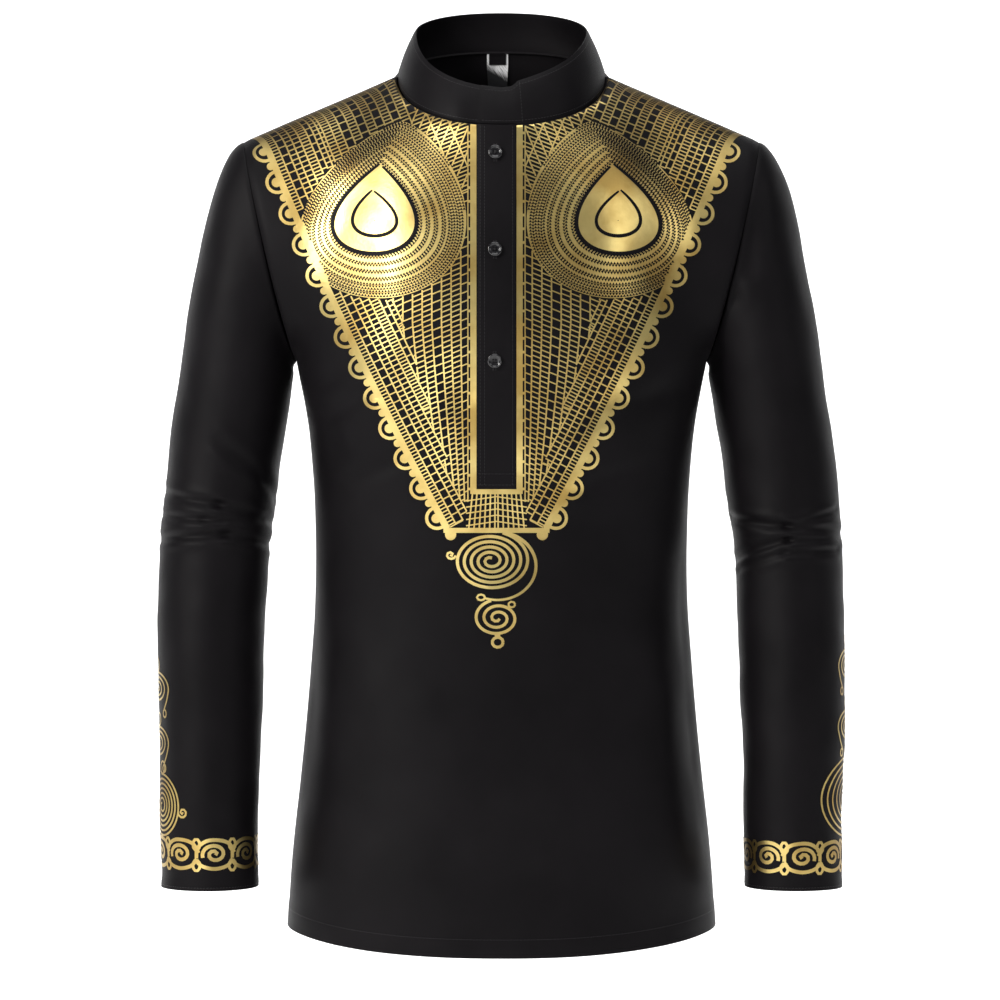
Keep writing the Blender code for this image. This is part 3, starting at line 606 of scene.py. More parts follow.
neck = np.linspace(0.0, NECK_SHARE, BACK_NECK_COLUMNS + 1)
shoulder = np.linspace(NECK_SHARE, 1.0, BACK_SHARE_COLUMNS + 1)[1:]
half = np.concatenate([neck, shoulder])
back_columns = np.concatenate([-half[:0:-1], half])[::-1]
below_arms, above_arms = np.linspace(0, 1, LOWER_BACK_ROWS + 1), 1 + np.linspace(0, 1, CHEST_ROWS + 1)[1:]
back_rows = np.concatenate([below_arms, above_arms])
back_u, back_levels = np.meshgrid(back_columns, back_rows)
back_grid = panel_points(back_u, back_levels, 1, BACK_FOLDS)
back_outer, back_inner = panel_walls(back_grid, 1, 5, chest_freedom(back_u, back_levels, 10))
back = cloth_wall("shirt_back", back_outer, back_inner, black_sateen)
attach(back, "root")
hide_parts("back")


# The sleeves: each one a single piece of the same sateen, closed by a seam inside the arm, set into the
# armhole and turned up in a stitched hem at the wrist. The elbows are creased.
Ring = namedtuple("Ring", "height centre_x centre_y half_width half_depth")
SLEEVE = [
    Ring(-0.6780, 0.2420, -0.032, 0.0402, 0.0425),
    Ring(-0.6100, 0.2424, -0.028, 0.0411, 0.0440),
    Ring(-0.5260, 0.2430, -0.021, 0.0430, 0.0465),
    Ring(-0.4420, 0.2418, -0.012, 0.0449, 0.0490),
    Ring(-0.3910, 0.2396, -0.006, 0.0456, 0.0505),
    Ring(-0.3410, 0.2346, -0.001, 0.0470, 0.0530),
    Ring(-0.2910, 0.2283, 0.002, 0.0477, 0.0560),
    Ring(-0.2530, 0.2226, 0.003, 0.0479, 0.0585),
]
CUFF_HEIGHT = SLEEVE[0].height
BICEP_HEIGHT = SLEEVE[-1].height
SLEEVE_HEM = 0.0045

# Folds round a sleeve, in degrees: 0 is outside, 90 in front, 180 inside and 270 behind.
ArmFold = namedtuple("ArmFold", "turn0 z0 turn1 z1 depth width")
RIGHT_ARM_FOLDS = [
    ArmFold(5, -0.350, 95, -0.362, 0.0029, 0.0040),
    ArmFold(95, -0.362, 182, -0.378, 0.0031, 0.0040),
    ArmFold(5, -0.370, 80, -0.374, 0.0020, 0.0032),
    ArmFold(80, -0.374, 150, -0.3755, 0.0018, 0.0032),
    ArmFold(0, -0.391, 105, -0.3865, 0.0030, 0.0040),
    ArmFold(105, -0.3865, 185, -0.397, 0.0030, 0.0040),
    ArmFold(88, -0.311, 175, -0.357, 0.0022, 0.0052),
    ArmFold(190, -0.352, 300, -0.366, 0.0027, 0.0048),
    ArmFold(255, -0.395, 350, -0.381, 0.0024, 0.0048),
    ArmFold(185, -0.392, 250, -0.386, 0.0020, 0.0044),
]
LEFT_ARM_FOLDS = [
    ArmFold(175, -0.372, 95, -0.380, 0.0031, 0.0040),
    ArmFold(95, -0.380, 5, -0.386, 0.0029, 0.0040),
    ArmFold(78, -0.376, 25, -0.366, 0.0018, 0.0032),
    ArmFold(180, -0.409, 95, -0.391, 0.0034, 0.0040),
    ArmFold(95, -0.391, 10, -0.390, 0.0023, 0.0036),
    ArmFold(165, -0.416, 100, -0.401, 0.0019, 0.0036),
    ArmFold(100, -0.401, 30, -0.399, 0.0022, 0.0036),
    ArmFold(190, -0.360, 290, -0.374, 0.0027, 0.0048),
    ArmFold(240, -0.402, 345, -0.389, 0.0024, 0.0048),
    ArmFold(270, -0.350, 345, -0.358, 0.0019, 0.0048),
    ArmFold(100, -0.105, 115, -0.190, 0.0035, 0.0070),
    ArmFold(60, -0.095, 92, -0.170, 0.0025, 0.0070),
]
ARM_FOLD_RADIUS = 0.046
RIDGE_SHARE = 0.35
RIDGE_REACH = 1.6
ARM_SIDE_SHARE = 0.45
ELBOW_TOP = -0.335
ELBOW_FOOT = -0.425
SLEEVE_COLUMNS = 96
CAP_ROWS = 40
UPPER_ARM_ROWS = 20
ELBOW_ROWS = 60
FOREARM_ROWS = 60


def arm_fold_depth(folds, turn, height):
    """How far a sleeve's folds press it in; beside a trough the cloth puffs out a little."""
    pressed = np.zeros(np.broadcast(turn, height).shape)
    for fold in folds:
        along = math.radians(fold.turn1 - fold.turn0) * ARM_FOLD_RADIUS
        rise = fold.z1 - fold.z0
        length = math.hypot(along, rise)
        middle = (fold.turn0 + fold.turn1) / 2
        away = (turn - middle + 180) % 360 - 180 + middle
        across = np.radians(away - fold.turn0) * ARM_FOLD_RADIUS
        t = (across * along + (height - fold.z0) * rise) / length**2
        off = (across * rise - (height - fold.z0) * along) / length / fold.width
        past = np.maximum(0.0, np.maximum(-t, t - 1)) * length
        puffs = np.exp(-((off - RIDGE_REACH) ** 2)) + np.exp(-((off + RIDGE_REACH) ** 2))
        trough = np.exp(-(off**2)) - RIDGE_SHARE * puffs
        pressed += fold.depth * trough * np.exp(-((past / fold.width) ** 2))
    return pressed


def sleeve_points(side, turn, height):
    """Points of the sleeve below the underarm."""
    angle = np.radians(turn)
    pressed = arm_fold_depth(LEFT_ARM_FOLDS if side > 0 else RIGHT_ARM_FOLDS, turn, height)
    across = read_column(SLEEVE, "half_width", height) - pressed * ARM_SIDE_SHARE
    depth = read_column(SLEEVE, "half_depth", height) - pressed
    x = read_column(SLEEVE, "centre_x", height) + across * np.cos(angle)
    return points(side * x, read_column(SLEEVE, "centre_y", height) - depth * np.sin(angle), height)


def sleeve_cap_points(side, turn, t):
    """The sleeve between the armhole seam (t = 0) and the ring just under the arm (t = 1)."""
    seam = armhole_points(side, turn)
    seam[..., 0] += side * SEAM_GAP
    level = np.full_like(turn, BICEP_HEIGHT)
    ring = sleeve_points(side, turn, level)
    below = sleeve_points(side, turn, level - 0.01)
    height = seam[..., 2] - ring[..., 2]
    top = (1 + np.cos(np.radians(turn))) / 2
    out = 0.012 + 0.078 * top**1.2
    down = 0.012 + 0.035 * np.sin(np.radians(turn)) ** 2 + 0.030 * top
    ring_pull = (below - ring) / 0.01 * np.maximum(0.012, height * 1.05)[..., None]
    point = hermite(seam, points(side * out, 0.0, -down), ring, ring_pull, t[..., None])
    pressed = arm_fold_depth(LEFT_ARM_FOLDS if side > 0 else RIGHT_ARM_FOLDS, turn, point[..., 2])
    pressed = pressed * smooth(t / 0.15) * (1 - smooth(t))
    point[..., 0] -= side * pressed * np.cos(np.radians(turn))
    point[..., 1] += pressed * np.sin(np.radians(turn))
    return point


def make_sleeve(name, side, seed):
    """The seam of the sleeve's own cloth runs down the inside, where the grid starts."""
    turns = 180 + np.arange(SLEEVE_COLUMNS) * 360 / SLEEVE_COLUMNS
    turn, t = np.meshgrid(turns, np.linspace(0.0, 1.0, CAP_ROWS + 1))
    cap = sleeve_cap_points(side, turn % 360, t)
    upper = np.linspace(BICEP_HEIGHT, ELBOW_TOP, UPPER_ARM_ROWS + 1)[1:-1]
    elbow = np.linspace(ELBOW_TOP, ELBOW_FOOT, ELBOW_ROWS)
    lower = np.linspace(ELBOW_FOOT, CUFF_HEIGHT, FOREARM_ROWS)[1:]
    turn, height = np.meshgrid(turns, np.concatenate([upper, elbow, lower]))
    tube = sleeve_points(side, turn % 360, height)
    outer = np.concatenate([cap, tube])[::-1]
    outer = outer[:, ::-1] if side > 0 else outer
    normals = grid_normals(outer, True)
    up = np.arange(len(outer))[::-1][:, None]
    swell = soft_swell(outer, 0.060, 0.0016, seed) + soft_swell(outer, 0.022, 0.0005, seed + 1)
    stand = swell * smooth(up / 8)
    stand = stand + hem_step(outer[..., 2] - CUFF_HEIGHT, SLEEVE_HEM, HEM_PROUD)
    stand = stand - SEAM_ROLL * np.maximum(1.0 - up / 1.6, 0.0) ** 2
    outer = outer + normals * stand[..., None]
    inner = outer - normals * CLOTH
    inner[-1, :, 0] = side * np.maximum(np.abs(inner[-1, :, 0]), np.abs(outer[-1, :, 0]))
    return cloth_wall(name, outer, inner, black_sateen, wraps=True), outer


sleeve_left, left_grid = make_sleeve("shirt_sleeve_left", 1, 9)
sleeve_right, right_grid = make_sleeve("shirt_sleeve_right", -1, 13)
sleeve_grids = [left_grid, right_grid]
for sleeve, node in ((sleeve_left, "sleeve_left"), (sleeve_right, "sleeve_right")):
    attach(sleeve, "root")
    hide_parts(node)


# The stand collar: a stiffened band of the same cloth, two layers turned out at the top, sewn to the
# neckline. Its left end laps over its right end in front, above the placket.
COLLAR_CLOTH = 0.0018
COLLAR_TOP_HALF_WIDTH = 0.0725
COLLAR_TOP_FRONT_DEPTH = 0.078
COLLAR_TOP_BACK_DEPTH = 0.047
COLLAR_SIDE_HEIGHT = 0.0355
COLLAR_FRONT_HEIGHT = -0.0215
COLLAR_BACK_HEIGHT = 0.0580
COLLAR_LEFT_RISE = 0.0100
COLLAR_RIGHT_RISE = 0.0025
COLLAR_BULGE = 0.0015
COLLAR_TUCK_START = 335.0
COLLAR_STEP_TURN = 7.0
COLLAR_LAP_PROUD = 0.0006
COLLAR_ROWS = 14
COLLAR_TURNING = 0.07
COLLAR_LAP_COLUMNS = 12
COLLAR_ROUND_COLUMNS = 132
COLLAR_TURNED_IN = 0.030
COLLAR_TOP_ROLL = 0.0004


def collar_points(turn, share):
    """Points of the collar: turn is 0 at centre front and 90 at the wearer's left; share climbs it."""
    angle = np.radians(turn)
    across = rounded(np.sin(angle), NECK_FULLNESS)
    towards = rounded(np.cos(angle), NECK_FULLNESS)
    front = towards > 0
    foot = points(
        NECK_HALF_WIDTH * across,
        -towards * np.where(front, NECK_FRONT_DEPTH, NECK_BACK_DEPTH),
        NECK_SIDE_HEIGHT - towards * np.where(front, NECK_FRONT_DROP, NECK_BACK_RISE),
    )
    end_height = np.where(front, COLLAR_FRONT_HEIGHT, COLLAR_BACK_HEIGHT)
    stepped_up = smooth((np.degrees(np.arctan2(across, towards)) - COLLAR_STEP_TURN) / 2.0)
    rise = COLLAR_RIGHT_RISE + (COLLAR_LEFT_RISE - COLLAR_RIGHT_RISE) * stepped_up
    rise = rise * np.sqrt(np.abs(np.sin(2 * angle)))
    top = points(
        COLLAR_TOP_HALF_WIDTH * across,
        -towards * np.where(front, COLLAR_TOP_FRONT_DEPTH, COLLAR_TOP_BACK_DEPTH),
        COLLAR_SIDE_HEIGHT + np.abs(towards) * (end_height - COLLAR_SIDE_HEIGHT) + np.where(front, rise, 0.0),
    )
    outward = points(across, -towards, 0.0) / np.hypot(across, towards)[..., None]
    point = foot + share[..., None] * (top - foot)
    point = point + outward * (COLLAR_BULGE * np.sin(math.pi * share))[..., None]
    point[..., 2] += SEAM_GAP * 1.5 * (1 - share)
    tuck = smooth((turn - COLLAR_TUCK_START) / 12) * (COLLAR_CLOTH + 2 * SEAM_GAP)
    return point - outward * tuck[..., None]


top_row = front_u[-1]
lap_start, lap_end = (90 * top_row[first_slot_column + k] / NECK_SHARE for k in (0, SLOT_COLUMNS))
collar_turns = np.concatenate(
    [
        np.linspace(lap_start, lap_end, COLLAR_LAP_COLUMNS + 1)[:-1],
        np.linspace(lap_end, 360 + lap_start, COLLAR_ROUND_COLUMNS)[:-1],
        360 + np.linspace(lap_start, lap_end, COLLAR_LAP_COLUMNS + 1),
    ]
)
below_seam = [-COLLAR_TURNING, -0.3 * COLLAR_TURNING]
collar_shares = np.concatenate([below_seam, np.linspace(0.0, 1.0, COLLAR_ROWS + 1)])
turn, share = np.meshgrid(collar_turns, collar_shares)
collar_outer = collar_points(turn, share)
turned_in = np.minimum(share, 0.0)[..., None] * COLLAR_TURNED_IN
collar_outer = collar_outer + turned_in * points(np.sin(np.radians(turn)), -np.cos(np.radians(turn)), 0.0)
collar_normals = grid_normals(collar_outer)
collar_swell = soft_swell(collar_outer, 0.045, 0.0006, 17) * smooth(share / 0.2) * smooth((1 - share) / 0.15)
collar_swell += COLLAR_LAP_PROUD * (1 - smooth((turn - COLLAR_STEP_TURN) / 2.0)) * smooth(share / 0.1)
edge_roll = COLLAR_TOP_ROLL * np.maximum(1 - (1 - share) / 0.09, 0.0) ** 2
edge_roll += SEAM_ROLL * np.clip(1 - share / 0.08, 0.0, 1.0) ** 2
collar_outer = collar_outer + collar_normals * (collar_swell - edge_roll)[..., None]
collar_depth = COLLAR_CLOTH - 2 * np.minimum(edge_roll, COLLAR_TOP_ROLL)
collar_inner = collar_outer - collar_normals * collar_depth[..., None]
collar = cloth_wall("shirt_collar", collar_outer, collar_inner, black_sateen)
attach(collar, "root")
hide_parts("collar")


# The half placket: the over strip fills the slot and carries the buttons, sewn along its left edge; the
# under strip lies behind it, sewn to the slot's other edge.
PLACKET_CLOTH = 0.0018
PLACKET_PROUD = 0.0006
UNDER_PLACKET_LEFT = -0.0254
UNDER_PLACKET_RIGHT = 0.0097
PLACKET_COLUMNS = 16
PLACKET_EDGE_ROLL = 0.0004


def placket_grid(left, right, inset):
    """A strip of the front's own points between two x, from the slot's bottom to the neckline."""
    strip_levels = levels[LOWER_FRONT_ROWS:]
    a, b = share_at(left, strip_levels, -1), share_at(right, strip_levels, -1)
    u = a[:, None] + (b - a)[:, None] * np.linspace(0.0, 1.0, PLACKET_COLUMNS + 1)[None, :]
    grid = panel_points(u, strip_levels[:, None] + 0 * u, -1, FRONT_FOLDS)
    return grid - grid_normals(grid) * inset


def edge_rounding(grid, depth):
    rows, columns = grid.shape[:2]
    across = np.minimum(np.arange(columns), np.arange(columns)[::-1])[None, :]
    up = np.arange(rows)[:, None]
    near = np.maximum(1 - across / 1.5, 0.0) ** 2 + np.maximum(1 - up / 1.5, 0.0) ** 2
    return grid - grid_normals(grid) * (depth * np.minimum(near, 1.0))[..., None]


placket_face = placket_grid(SLOT_LEFT + SEAM_GAP, SLOT_RIGHT - SEAM_GAP, -PLACKET_PROUD)
placket_face[0, :, 2] += SEAM_GAP
placket_inside = placket_face - grid_normals(placket_face) * PLACKET_CLOTH
placket_cloth = edge_rounding(placket_face, PLACKET_EDGE_ROLL)
placket_over = cloth_wall("shirt_placket_over", placket_cloth, placket_inside, black_sateen)
under_inset = PLACKET_CLOTH - PLACKET_PROUD + 3 * SEAM_GAP
under_face = placket_grid(UNDER_PLACKET_LEFT, UNDER_PLACKET_RIGHT, under_inset)
under_inside = under_face - grid_normals(under_face) * CLOTH
placket_under = cloth_wall("shirt_placket_under", under_face, under_inside, black_sateen)
for strip, node, width in ((placket_over, "placket_over", 0.031), (placket_under, "placket_under", 0.035)):
    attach(strip, "root")
    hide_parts(node)


# The sewing: black polyester thread, in straight rows of lockstitch along the hems, the collar and the
# placket, and in close bars down both sides of each buttonhole. Each stitch lies on the cloth it holds.
STITCH_PITCH = 0.0027
STITCH_LENGTH = 0.0021
THREAD = 0.00042
HOLE_BAR_PITCH = 0.0006
HOLE_BAR_LENGTH = 0.0015
HOLE_HALF_LENGTH = 0.0075
HOLE_BAR_APART = 0.0010
BUTTON_HEIGHTS = (-0.0760, -0.1560, -0.2460)


def black_thread():
    """Twisted polyester thread, a little glossier than the cloth."""
    material, tree, shader = new_finish("black_thread", {"Roughness": 0.38, "Specular IOR Level": 0.30})
    place = add_node(tree, "ShaderNodeTexCoord")
    twist = mottled(tree, place.outputs["Object"], 900.0)
    feed(shader, {"Base Color": shades_of(tree, twist, (0.006, 0.005, 0.006), (0.020, 0.018, 0.020))})
    return material


def new_group(name, sockets, result):
    """An empty Geometry Nodes tree with its named inputs, its one output and the nodes for both."""
    tree = bpy.data.node_groups.new(name, "GeometryNodeTree")
    for socket, kind in sockets:
        tree.interface.new_socket(socket, in_out="INPUT", socket_type="NodeSocket" + kind)
    tree.interface.new_socket(result, in_out="OUTPUT", socket_type="NodeSocketGeometry")
    return tree, add_node(tree, "NodeGroupInput").outputs, add_node(tree, "NodeGroupOutput")


def sewing_tree():
    """Geometry Nodes that sew along edges: even stitches, each one lying along its row and on the cloth."""
    sizes = [(name, "Float") for name in ("Pitch", "Length", "Thickness", "Turn")]
    sockets = [("Rows", "Geometry"), *sizes, ("Thread", "Material"), ("Seed", "Int")]
    tree, given, end = new_group("sew_along", sockets, "Stitches")

    def add(kind, inputs=None, **settings):
        return add_node(tree, kind, inputs, **settings).outputs

    curve = add("GeometryNodeMeshToCurve", {"Mesh": given["Rows"]})
    spacing = {"Curve": curve["Curve"], "Length": given["Pitch"]}
    evenly = add("GeometryNodeResampleCurve", spacing, mode="LENGTH")
    tangent = add("GeometryNodeInputTangent")
    along = add("FunctionNodeAlignRotationToVector", {"Vector": tangent["Tangent"]}, axis="X")
    outward = add("GeometryNodeInputNamedAttribute", {"Name": "outward"}, data_type="FLOAT_VECTOR")
    upright = add(
        "FunctionNodeAlignRotationToVector",
        {"Rotation": along["Rotation"], "Vector": outward["Attribute"]},
        axis="Z",
        pivot_axis="X",
    )
    wobble = add("FunctionNodeRandomValue", {2: -0.09, 3: 0.09, "Seed": given["Seed"]})
    turn = add("ShaderNodeMath", {0: given["Turn"], 1: wobble[1]})
    spin = add("ShaderNodeCombineXYZ", {"Z": turn["Value"]})
    turned = add(
        "FunctionNodeRotateRotation",
        {"Rotation": upright["Rotation"], "Rotate By": spin["Vector"]},
        rotation_space="LOCAL",
    )
    bead = add("GeometryNodeMeshIcoSphere", {"Radius": 0.5, "Subdivisions": 2})
    flatness = add("ShaderNodeMath", {0: given["Thickness"], 1: 0.7}, operation="MULTIPLY")
    size = add(
        "ShaderNodeCombineXYZ",
        {"X": given["Length"], "Y": given["Thickness"], "Z": flatness["Value"]},
    )
    stitch = {"Points": evenly["Curve"], "Instance": bead["Mesh"]}
    put = add(
        "GeometryNodeInstanceOnPoints",
        {**stitch, "Rotation": turned["Rotation"], "Scale": size["Vector"]},
    )
    real = add("GeometryNodeRealizeInstances", {"Geometry": put["Instances"]})
    ink = add("GeometryNodeSetMaterial", {"Geometry": real["Geometry"], "Material": given["Thread"]})
    feed(end, {"Stitches": ink["Geometry"]})
    return tree


def set_inputs(modifier, **values):
    """Sets a modifier's named inputs through their sockets' identifiers."""
    for socket in modifier.node_group.interface.items_tree:
        if socket.in_out == "INPUT" and socket.name in values:
            modifier[socket.identifier] = values[socket.name]


def plain_mesh(piece, longest=None):
    """Swaps a piece's live modifiers for their plain result, without any face that was torn long."""
    depsgraph = bpy.context.evaluated_depsgraph_get()
    depsgraph.update()
    data = bpy.data.meshes.new_from_object(piece.evaluated_get(depsgraph), depsgraph=depsgraph)
    piece.modifiers.clear()
    piece.data = data
    if longest:
        mesh = bmesh.new()
        mesh.from_mesh(data)
        torn = [
            face
            for face in mesh.faces
            if face.calc_area() < 2e-9 or max(edge.calc_length() for edge in face.edges) > longest
        ]
        bmesh.ops.delete(mesh, geom=torn, context="FACES")
        loose = [vert for vert in mesh.verts if not vert.link_faces]
        bmesh.ops.delete(mesh, geom=loose, context="VERTS")
        mesh.to_mesh(data)
        mesh.free()
    data.shade_smooth()
    return piece


def line_at(grid, normals, distance):
    """The line that lies a distance up each column of a grid, with the cloth's normals there."""
    rise = np.linalg.norm(np.diff(grid, axis=0), axis=2)
    run = np.concatenate([np.zeros((1, grid.shape[1])), np.cumsum(rise, axis=0)])
    both = np.concatenate([grid, normals], axis=2)
    line = [[np.interp(distance, run[:, c], both[:, c, k]) for k in range(6)] for c in range(grid.shape[1])]
    line = np.array(line)
    return line[:, :3] + line[:, 3:] * 0.1 * THREAD, line[:, 3:]


def sew(name, rows, seed, pitch=STITCH_PITCH, length=STITCH_LENGTH, turn=0.0):
    """Rows of stitches as one piece; each row is its points, the cloth's normals there and if it closes."""
    places, outwards, edges = [], [], []
    for line, normals, closes in rows:
        first = sum(len(part) for part in places)
        count = len(line)
        edges += [(first + k, first + (k + 1) % count) for k in range(count if closes else count - 1)]
        places.append(line)
        outwards.append(normals)
    data = bpy.data.meshes.new(name)
    data.from_pydata(np.concatenate(places).tolist(), edges, [])
    outward = data.attributes.new("outward", "FLOAT_VECTOR", "POINT")
    outward.data.foreach_set("vector", np.concatenate(outwards).reshape(-1))
    piece = put_in_scene(name, data)
    sewer = piece.modifiers.new("sewing", "NODES")
    sewer.node_group = sewing_nodes
    set_inputs(sewer, Pitch=pitch, Length=length, Thickness=THREAD, Turn=turn, Thread=thread, Seed=seed)
    plain_mesh(piece)
    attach(piece, "root")
    return piece


def sewn_rows(grid, distances, wraps=False, ends=0):
    """Rows of stitches at distances from a grid's first row, leaving out the columns at its ends."""
    normals = grid_normals(grid, wraps)
    kept = slice(ends, grid.shape[1] - ends)
    return [(*line_at(grid[:, kept], normals[:, kept], distance), wraps) for distance in distances]


sewing_nodes = sewing_tree()
thread = black_thread()
hem_line = HEM_DEPTH - 0.002
sew("sewing_hems", sewn_rows(front_outer, [hem_line], ends=1) + sewn_rows(back_outer, [hem_line], ends=1), 21)
cuff_rows = [row for grid in sleeve_grids for row in sewn_rows(grid, [SLEEVE_HEM - 0.002], wraps=True)]
sew("sewing_cuffs", cuff_rows, 22)
collar_band = collar_outer[2:]
lap_edge = collar_band[1:-1, COLLAR_LAP_COLUMNS + 1 :].transpose(1, 0, 2)
sew(
    "sewing_collar",
    sewn_rows(collar_band, [0.0030], ends=2)
    + [(line, -normals, False) for line, normals, _ in sewn_rows(lap_edge, [0.0012])]
    + [(line, -normals, False) for line, normals, _ in sewn_rows(collar_band[::-1], [0.0040], ends=2)],
    23,
)
across_placket = placket_cloth.transpose(1, 0, 2)
placket_rows = [
    (line, -normals, False)
    for line, normals, _ in sewn_rows(across_placket, [0.0025, 0.0060], ends=1)
]
placket_rows += [row for row in sewn_rows(across_placket[::-1], [0.0025], ends=1)]
placket_rows += sewn_rows(placket_cloth, [0.0030, 0.0120], ends=1)
sew("sewing_placket", placket_rows, 24)

middle_column = placket_face.shape[1] // 2
button_seats = []
hole_rows = []
for height in BUTTON_HEIGHTS:
    line = placket_face[:, middle_column]
    seat = np.array([np.interp(height, line[:, 2], line[:, k]) for k in range(3)])
    above = np.array([np.interp(height + 0.004, line[:, 2], line[:, k]) for k in range(3)])
    row = int(np.searchsorted(line[:, 2], height))
    sideways = placket_face[row, middle_column + 1] - placket_face[row, middle_column - 1]
    sideways, upwards = sideways / np.linalg.norm(sideways), (above - seat) / np.linalg.norm(above - seat)
    facing = np.cross(sideways, upwards)
    button_seats.append((seat, sideways, upwards, facing))
    for apart in (-HOLE_BAR_APART, HOLE_BAR_APART):
        ends = [seat + sideways * apart + upwards * reach for reach in (-HOLE_HALF_LENGTH, HOLE_HALF_LENGTH)]
        ends = np.array(ends) + facing * 0.0001
        hole_rows.append((ends, np.array([facing, facing]), False))
sew("sewing_buttonholes", hole_rows, 25, HOLE_BAR_PITCH, HOLE_BAR_LENGTH, math.pi / 2)


# The buttons: three glossy black four-hole buttons of polyester resin, 12 mm across, with a dished face
# inside a round rim. Each is sewn through its holes with black thread.
BUTTON_RADIUS = 0.0060
BUTTON_THICKNESS = 0.0026
BUTTON_SIDES = 40
BUTTON_HOLE_RADIUS = 0.0008
BUTTON_HOLE_SPACING = 0.0014
BUTTON_PROFILE = [
    (0.0, 0.0), (0.78, 0.0), (0.90, 0.06), (0.97, 0.18), (1.0, 0.36), (1.0, 0.56), (0.97, 0.78), (0.91, 0.94),
    (0.84, 1.0), (0.77, 0.97), (0.71, 0.86), (0.65, 0.72), (0.57, 0.64), (0.45, 0.61), (0.0, 0.60),
]


def black_resin():
    """Cast polyester, glossy black with a faint marbling and fine scratches."""
    material, tree, shader = new_finish("black_resin", {"Coat Weight": 0.5, "Coat Roughness": 0.04})
    place = add_node(tree, "ShaderNodeTexCoord")
    marbling = mottled(tree, place.outputs["Object"], 300.0, 4.0)
    shades = shades_of(tree, marbling, (0.003, 0.003, 0.0035), (0.016, 0.015, 0.017))
    feed(shader, {"Base Color": shades, "Roughness": between(tree, marbling, 0.08, 0.20)})
    return material


def lathe(mesh, profile, sides):
    verts = [mesh.verts.new((r * BUTTON_RADIUS, 0.0, h * BUTTON_THICKNESS)) for r, h in profile]
    edges = [mesh.edges.new(pair) for pair in zip(verts[:-1], verts[1:])]
    spin = {"cent": (0, 0, 0), "axis": (0, 0, 1), "angle": 2 * math.pi, "steps": sides}
    bmesh.ops.spin(mesh, geom=verts + edges, **spin)
    bmesh.ops.remove_doubles(mesh, verts=mesh.verts[:], dist=1e-6)
    bmesh.ops.recalc_face_normals(mesh, faces=mesh.faces[:])


def mesh_object(name, mesh, material):
    data = bpy.data.meshes.new(name)
    mesh.to_mesh(data)
    mesh.free()
    data.materials.append(material)
    return put_in_scene(name, data)


def hole_places():
    angles = [math.radians(45 + 90 * corner) for corner in range(4)]
    reach = BUTTON_HOLE_SPACING * math.sqrt(2) * 0.72
    return [Vector((reach * math.cos(angle), reach * math.sin(angle), 0.0)) for angle in angles]


def sewn_button(name, resin):
    """A button with its four holes cut and two stitches of thread crossed through them, facing +Z."""
    mesh = bmesh.new()
    lathe(mesh, BUTTON_PROFILE, BUTTON_SIDES)
    button = mesh_object(name, mesh, resin)
    pins = bmesh.new()
    for place in hole_places():
        pin = {"radius1": BUTTON_HOLE_RADIUS, "radius2": BUTTON_HOLE_RADIUS, "depth": 4 * BUTTON_THICKNESS}
        bmesh.ops.create_cone(pins, cap_ends=True, segments=16, matrix=Matrix.Translation(place), **pin)
    cutter = mesh_object("hole_pins", pins, resin)
    holes = button.modifiers.new("thread holes", "BOOLEAN")
    holes.operation = "DIFFERENCE"
    holes.object = cutter
    plain_mesh(button)
    button.data.set_sharp_from_angle(angle=math.radians(38))
    bpy.data.objects.remove(cutter)
    return button


def crossed_thread(mesh, transform):
    """Two plump stitches across the button's face, from hole to hole."""
    face = BUTTON_THICKNESS * 0.60
    corners = hole_places()
    for first, last, lift in ((0, 2, 0.00025), (1, 3, 0.00055)):
        for strand in (-0.5, 0.5):
            a, b = corners[first], corners[last]
            side = (b - a).cross(Vector((0, 0, 1))).normalized() * 0.00038 * strand
            path = [a + side + Vector((0, 0, face - 0.0012)), a + side + Vector((0, 0, face))]
            bow = [(t, face + lift + 0.00015 * math.sin(math.pi * t)) for t in (0.2, 0.5, 0.8)]
            path += [a.lerp(b, t) + side + Vector((0, 0, height)) for t, height in bow]
            path += [b + side + Vector((0, 0, face)), b + side + Vector((0, 0, face - 0.0012))]
            rings = []
            for k, point in enumerate(path):
                ahead = (path[min(k + 1, len(path) - 1)] - path[max(k - 1, 0)]).normalized()
                beside = ahead.orthogonal() if k == 0 else (beside - ahead * beside.dot(ahead))
                beside = beside.normalized()
                above = ahead.cross(beside)
                spokes = [math.radians(60 * n) for n in range(6)]
                ring = [point + (beside * math.cos(s) + above * math.sin(s)) * THREAD / 2 for s in spokes]
                rings.append([mesh.verts.new(transform @ corner) for corner in ring])
            for low, high in zip(rings[:-1], rings[1:]):
                for n in range(6):
                    mesh.faces.new((low[n], low[(n + 1) % 6], high[(n + 1) % 6], high[n]))
            mesh.faces.new(rings[0][::-1])
            mesh.faces.new(rings[-1])


resin = black_resin()
crosses = bmesh.new()
for number, (seat, sideways, upwards, facing) in enumerate(button_seats, 1):
    button = sewn_button(f"shirt_button_{number}", resin)
    place = Matrix(np.column_stack([sideways, upwards, facing]).tolist()).to_4x4()
    place.translation = Vector(seat + facing * SEAM_GAP)
    button.data.transform(place)
    crossed_thread(crosses, place)
    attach(button, "root")
    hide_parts(f"button_{number}")
bmesh.ops.recalc_face_normals(crosses, faces=crosses.faces[:])
button_thread = mesh_object("sewing_buttons", crosses, thread)
button_thread.data.shade_smooth()
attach(button_thread, "root")


# The neck label: a strip of silvery woven satin, sewn in the collar seam at the back, with a small black
# size tab over its top. Both are left bare.
LABEL_X = -0.0034
LABEL_HALF_WIDTH = 0.009
LABEL_LENGTH = 0.0300
LABEL_CLOTH = 0.0004
TAB_HALF_WIDTH = 0.0072
TAB_LENGTH = 0.0105
LABEL_COLUMNS = 10
LABEL_ROWS = 24


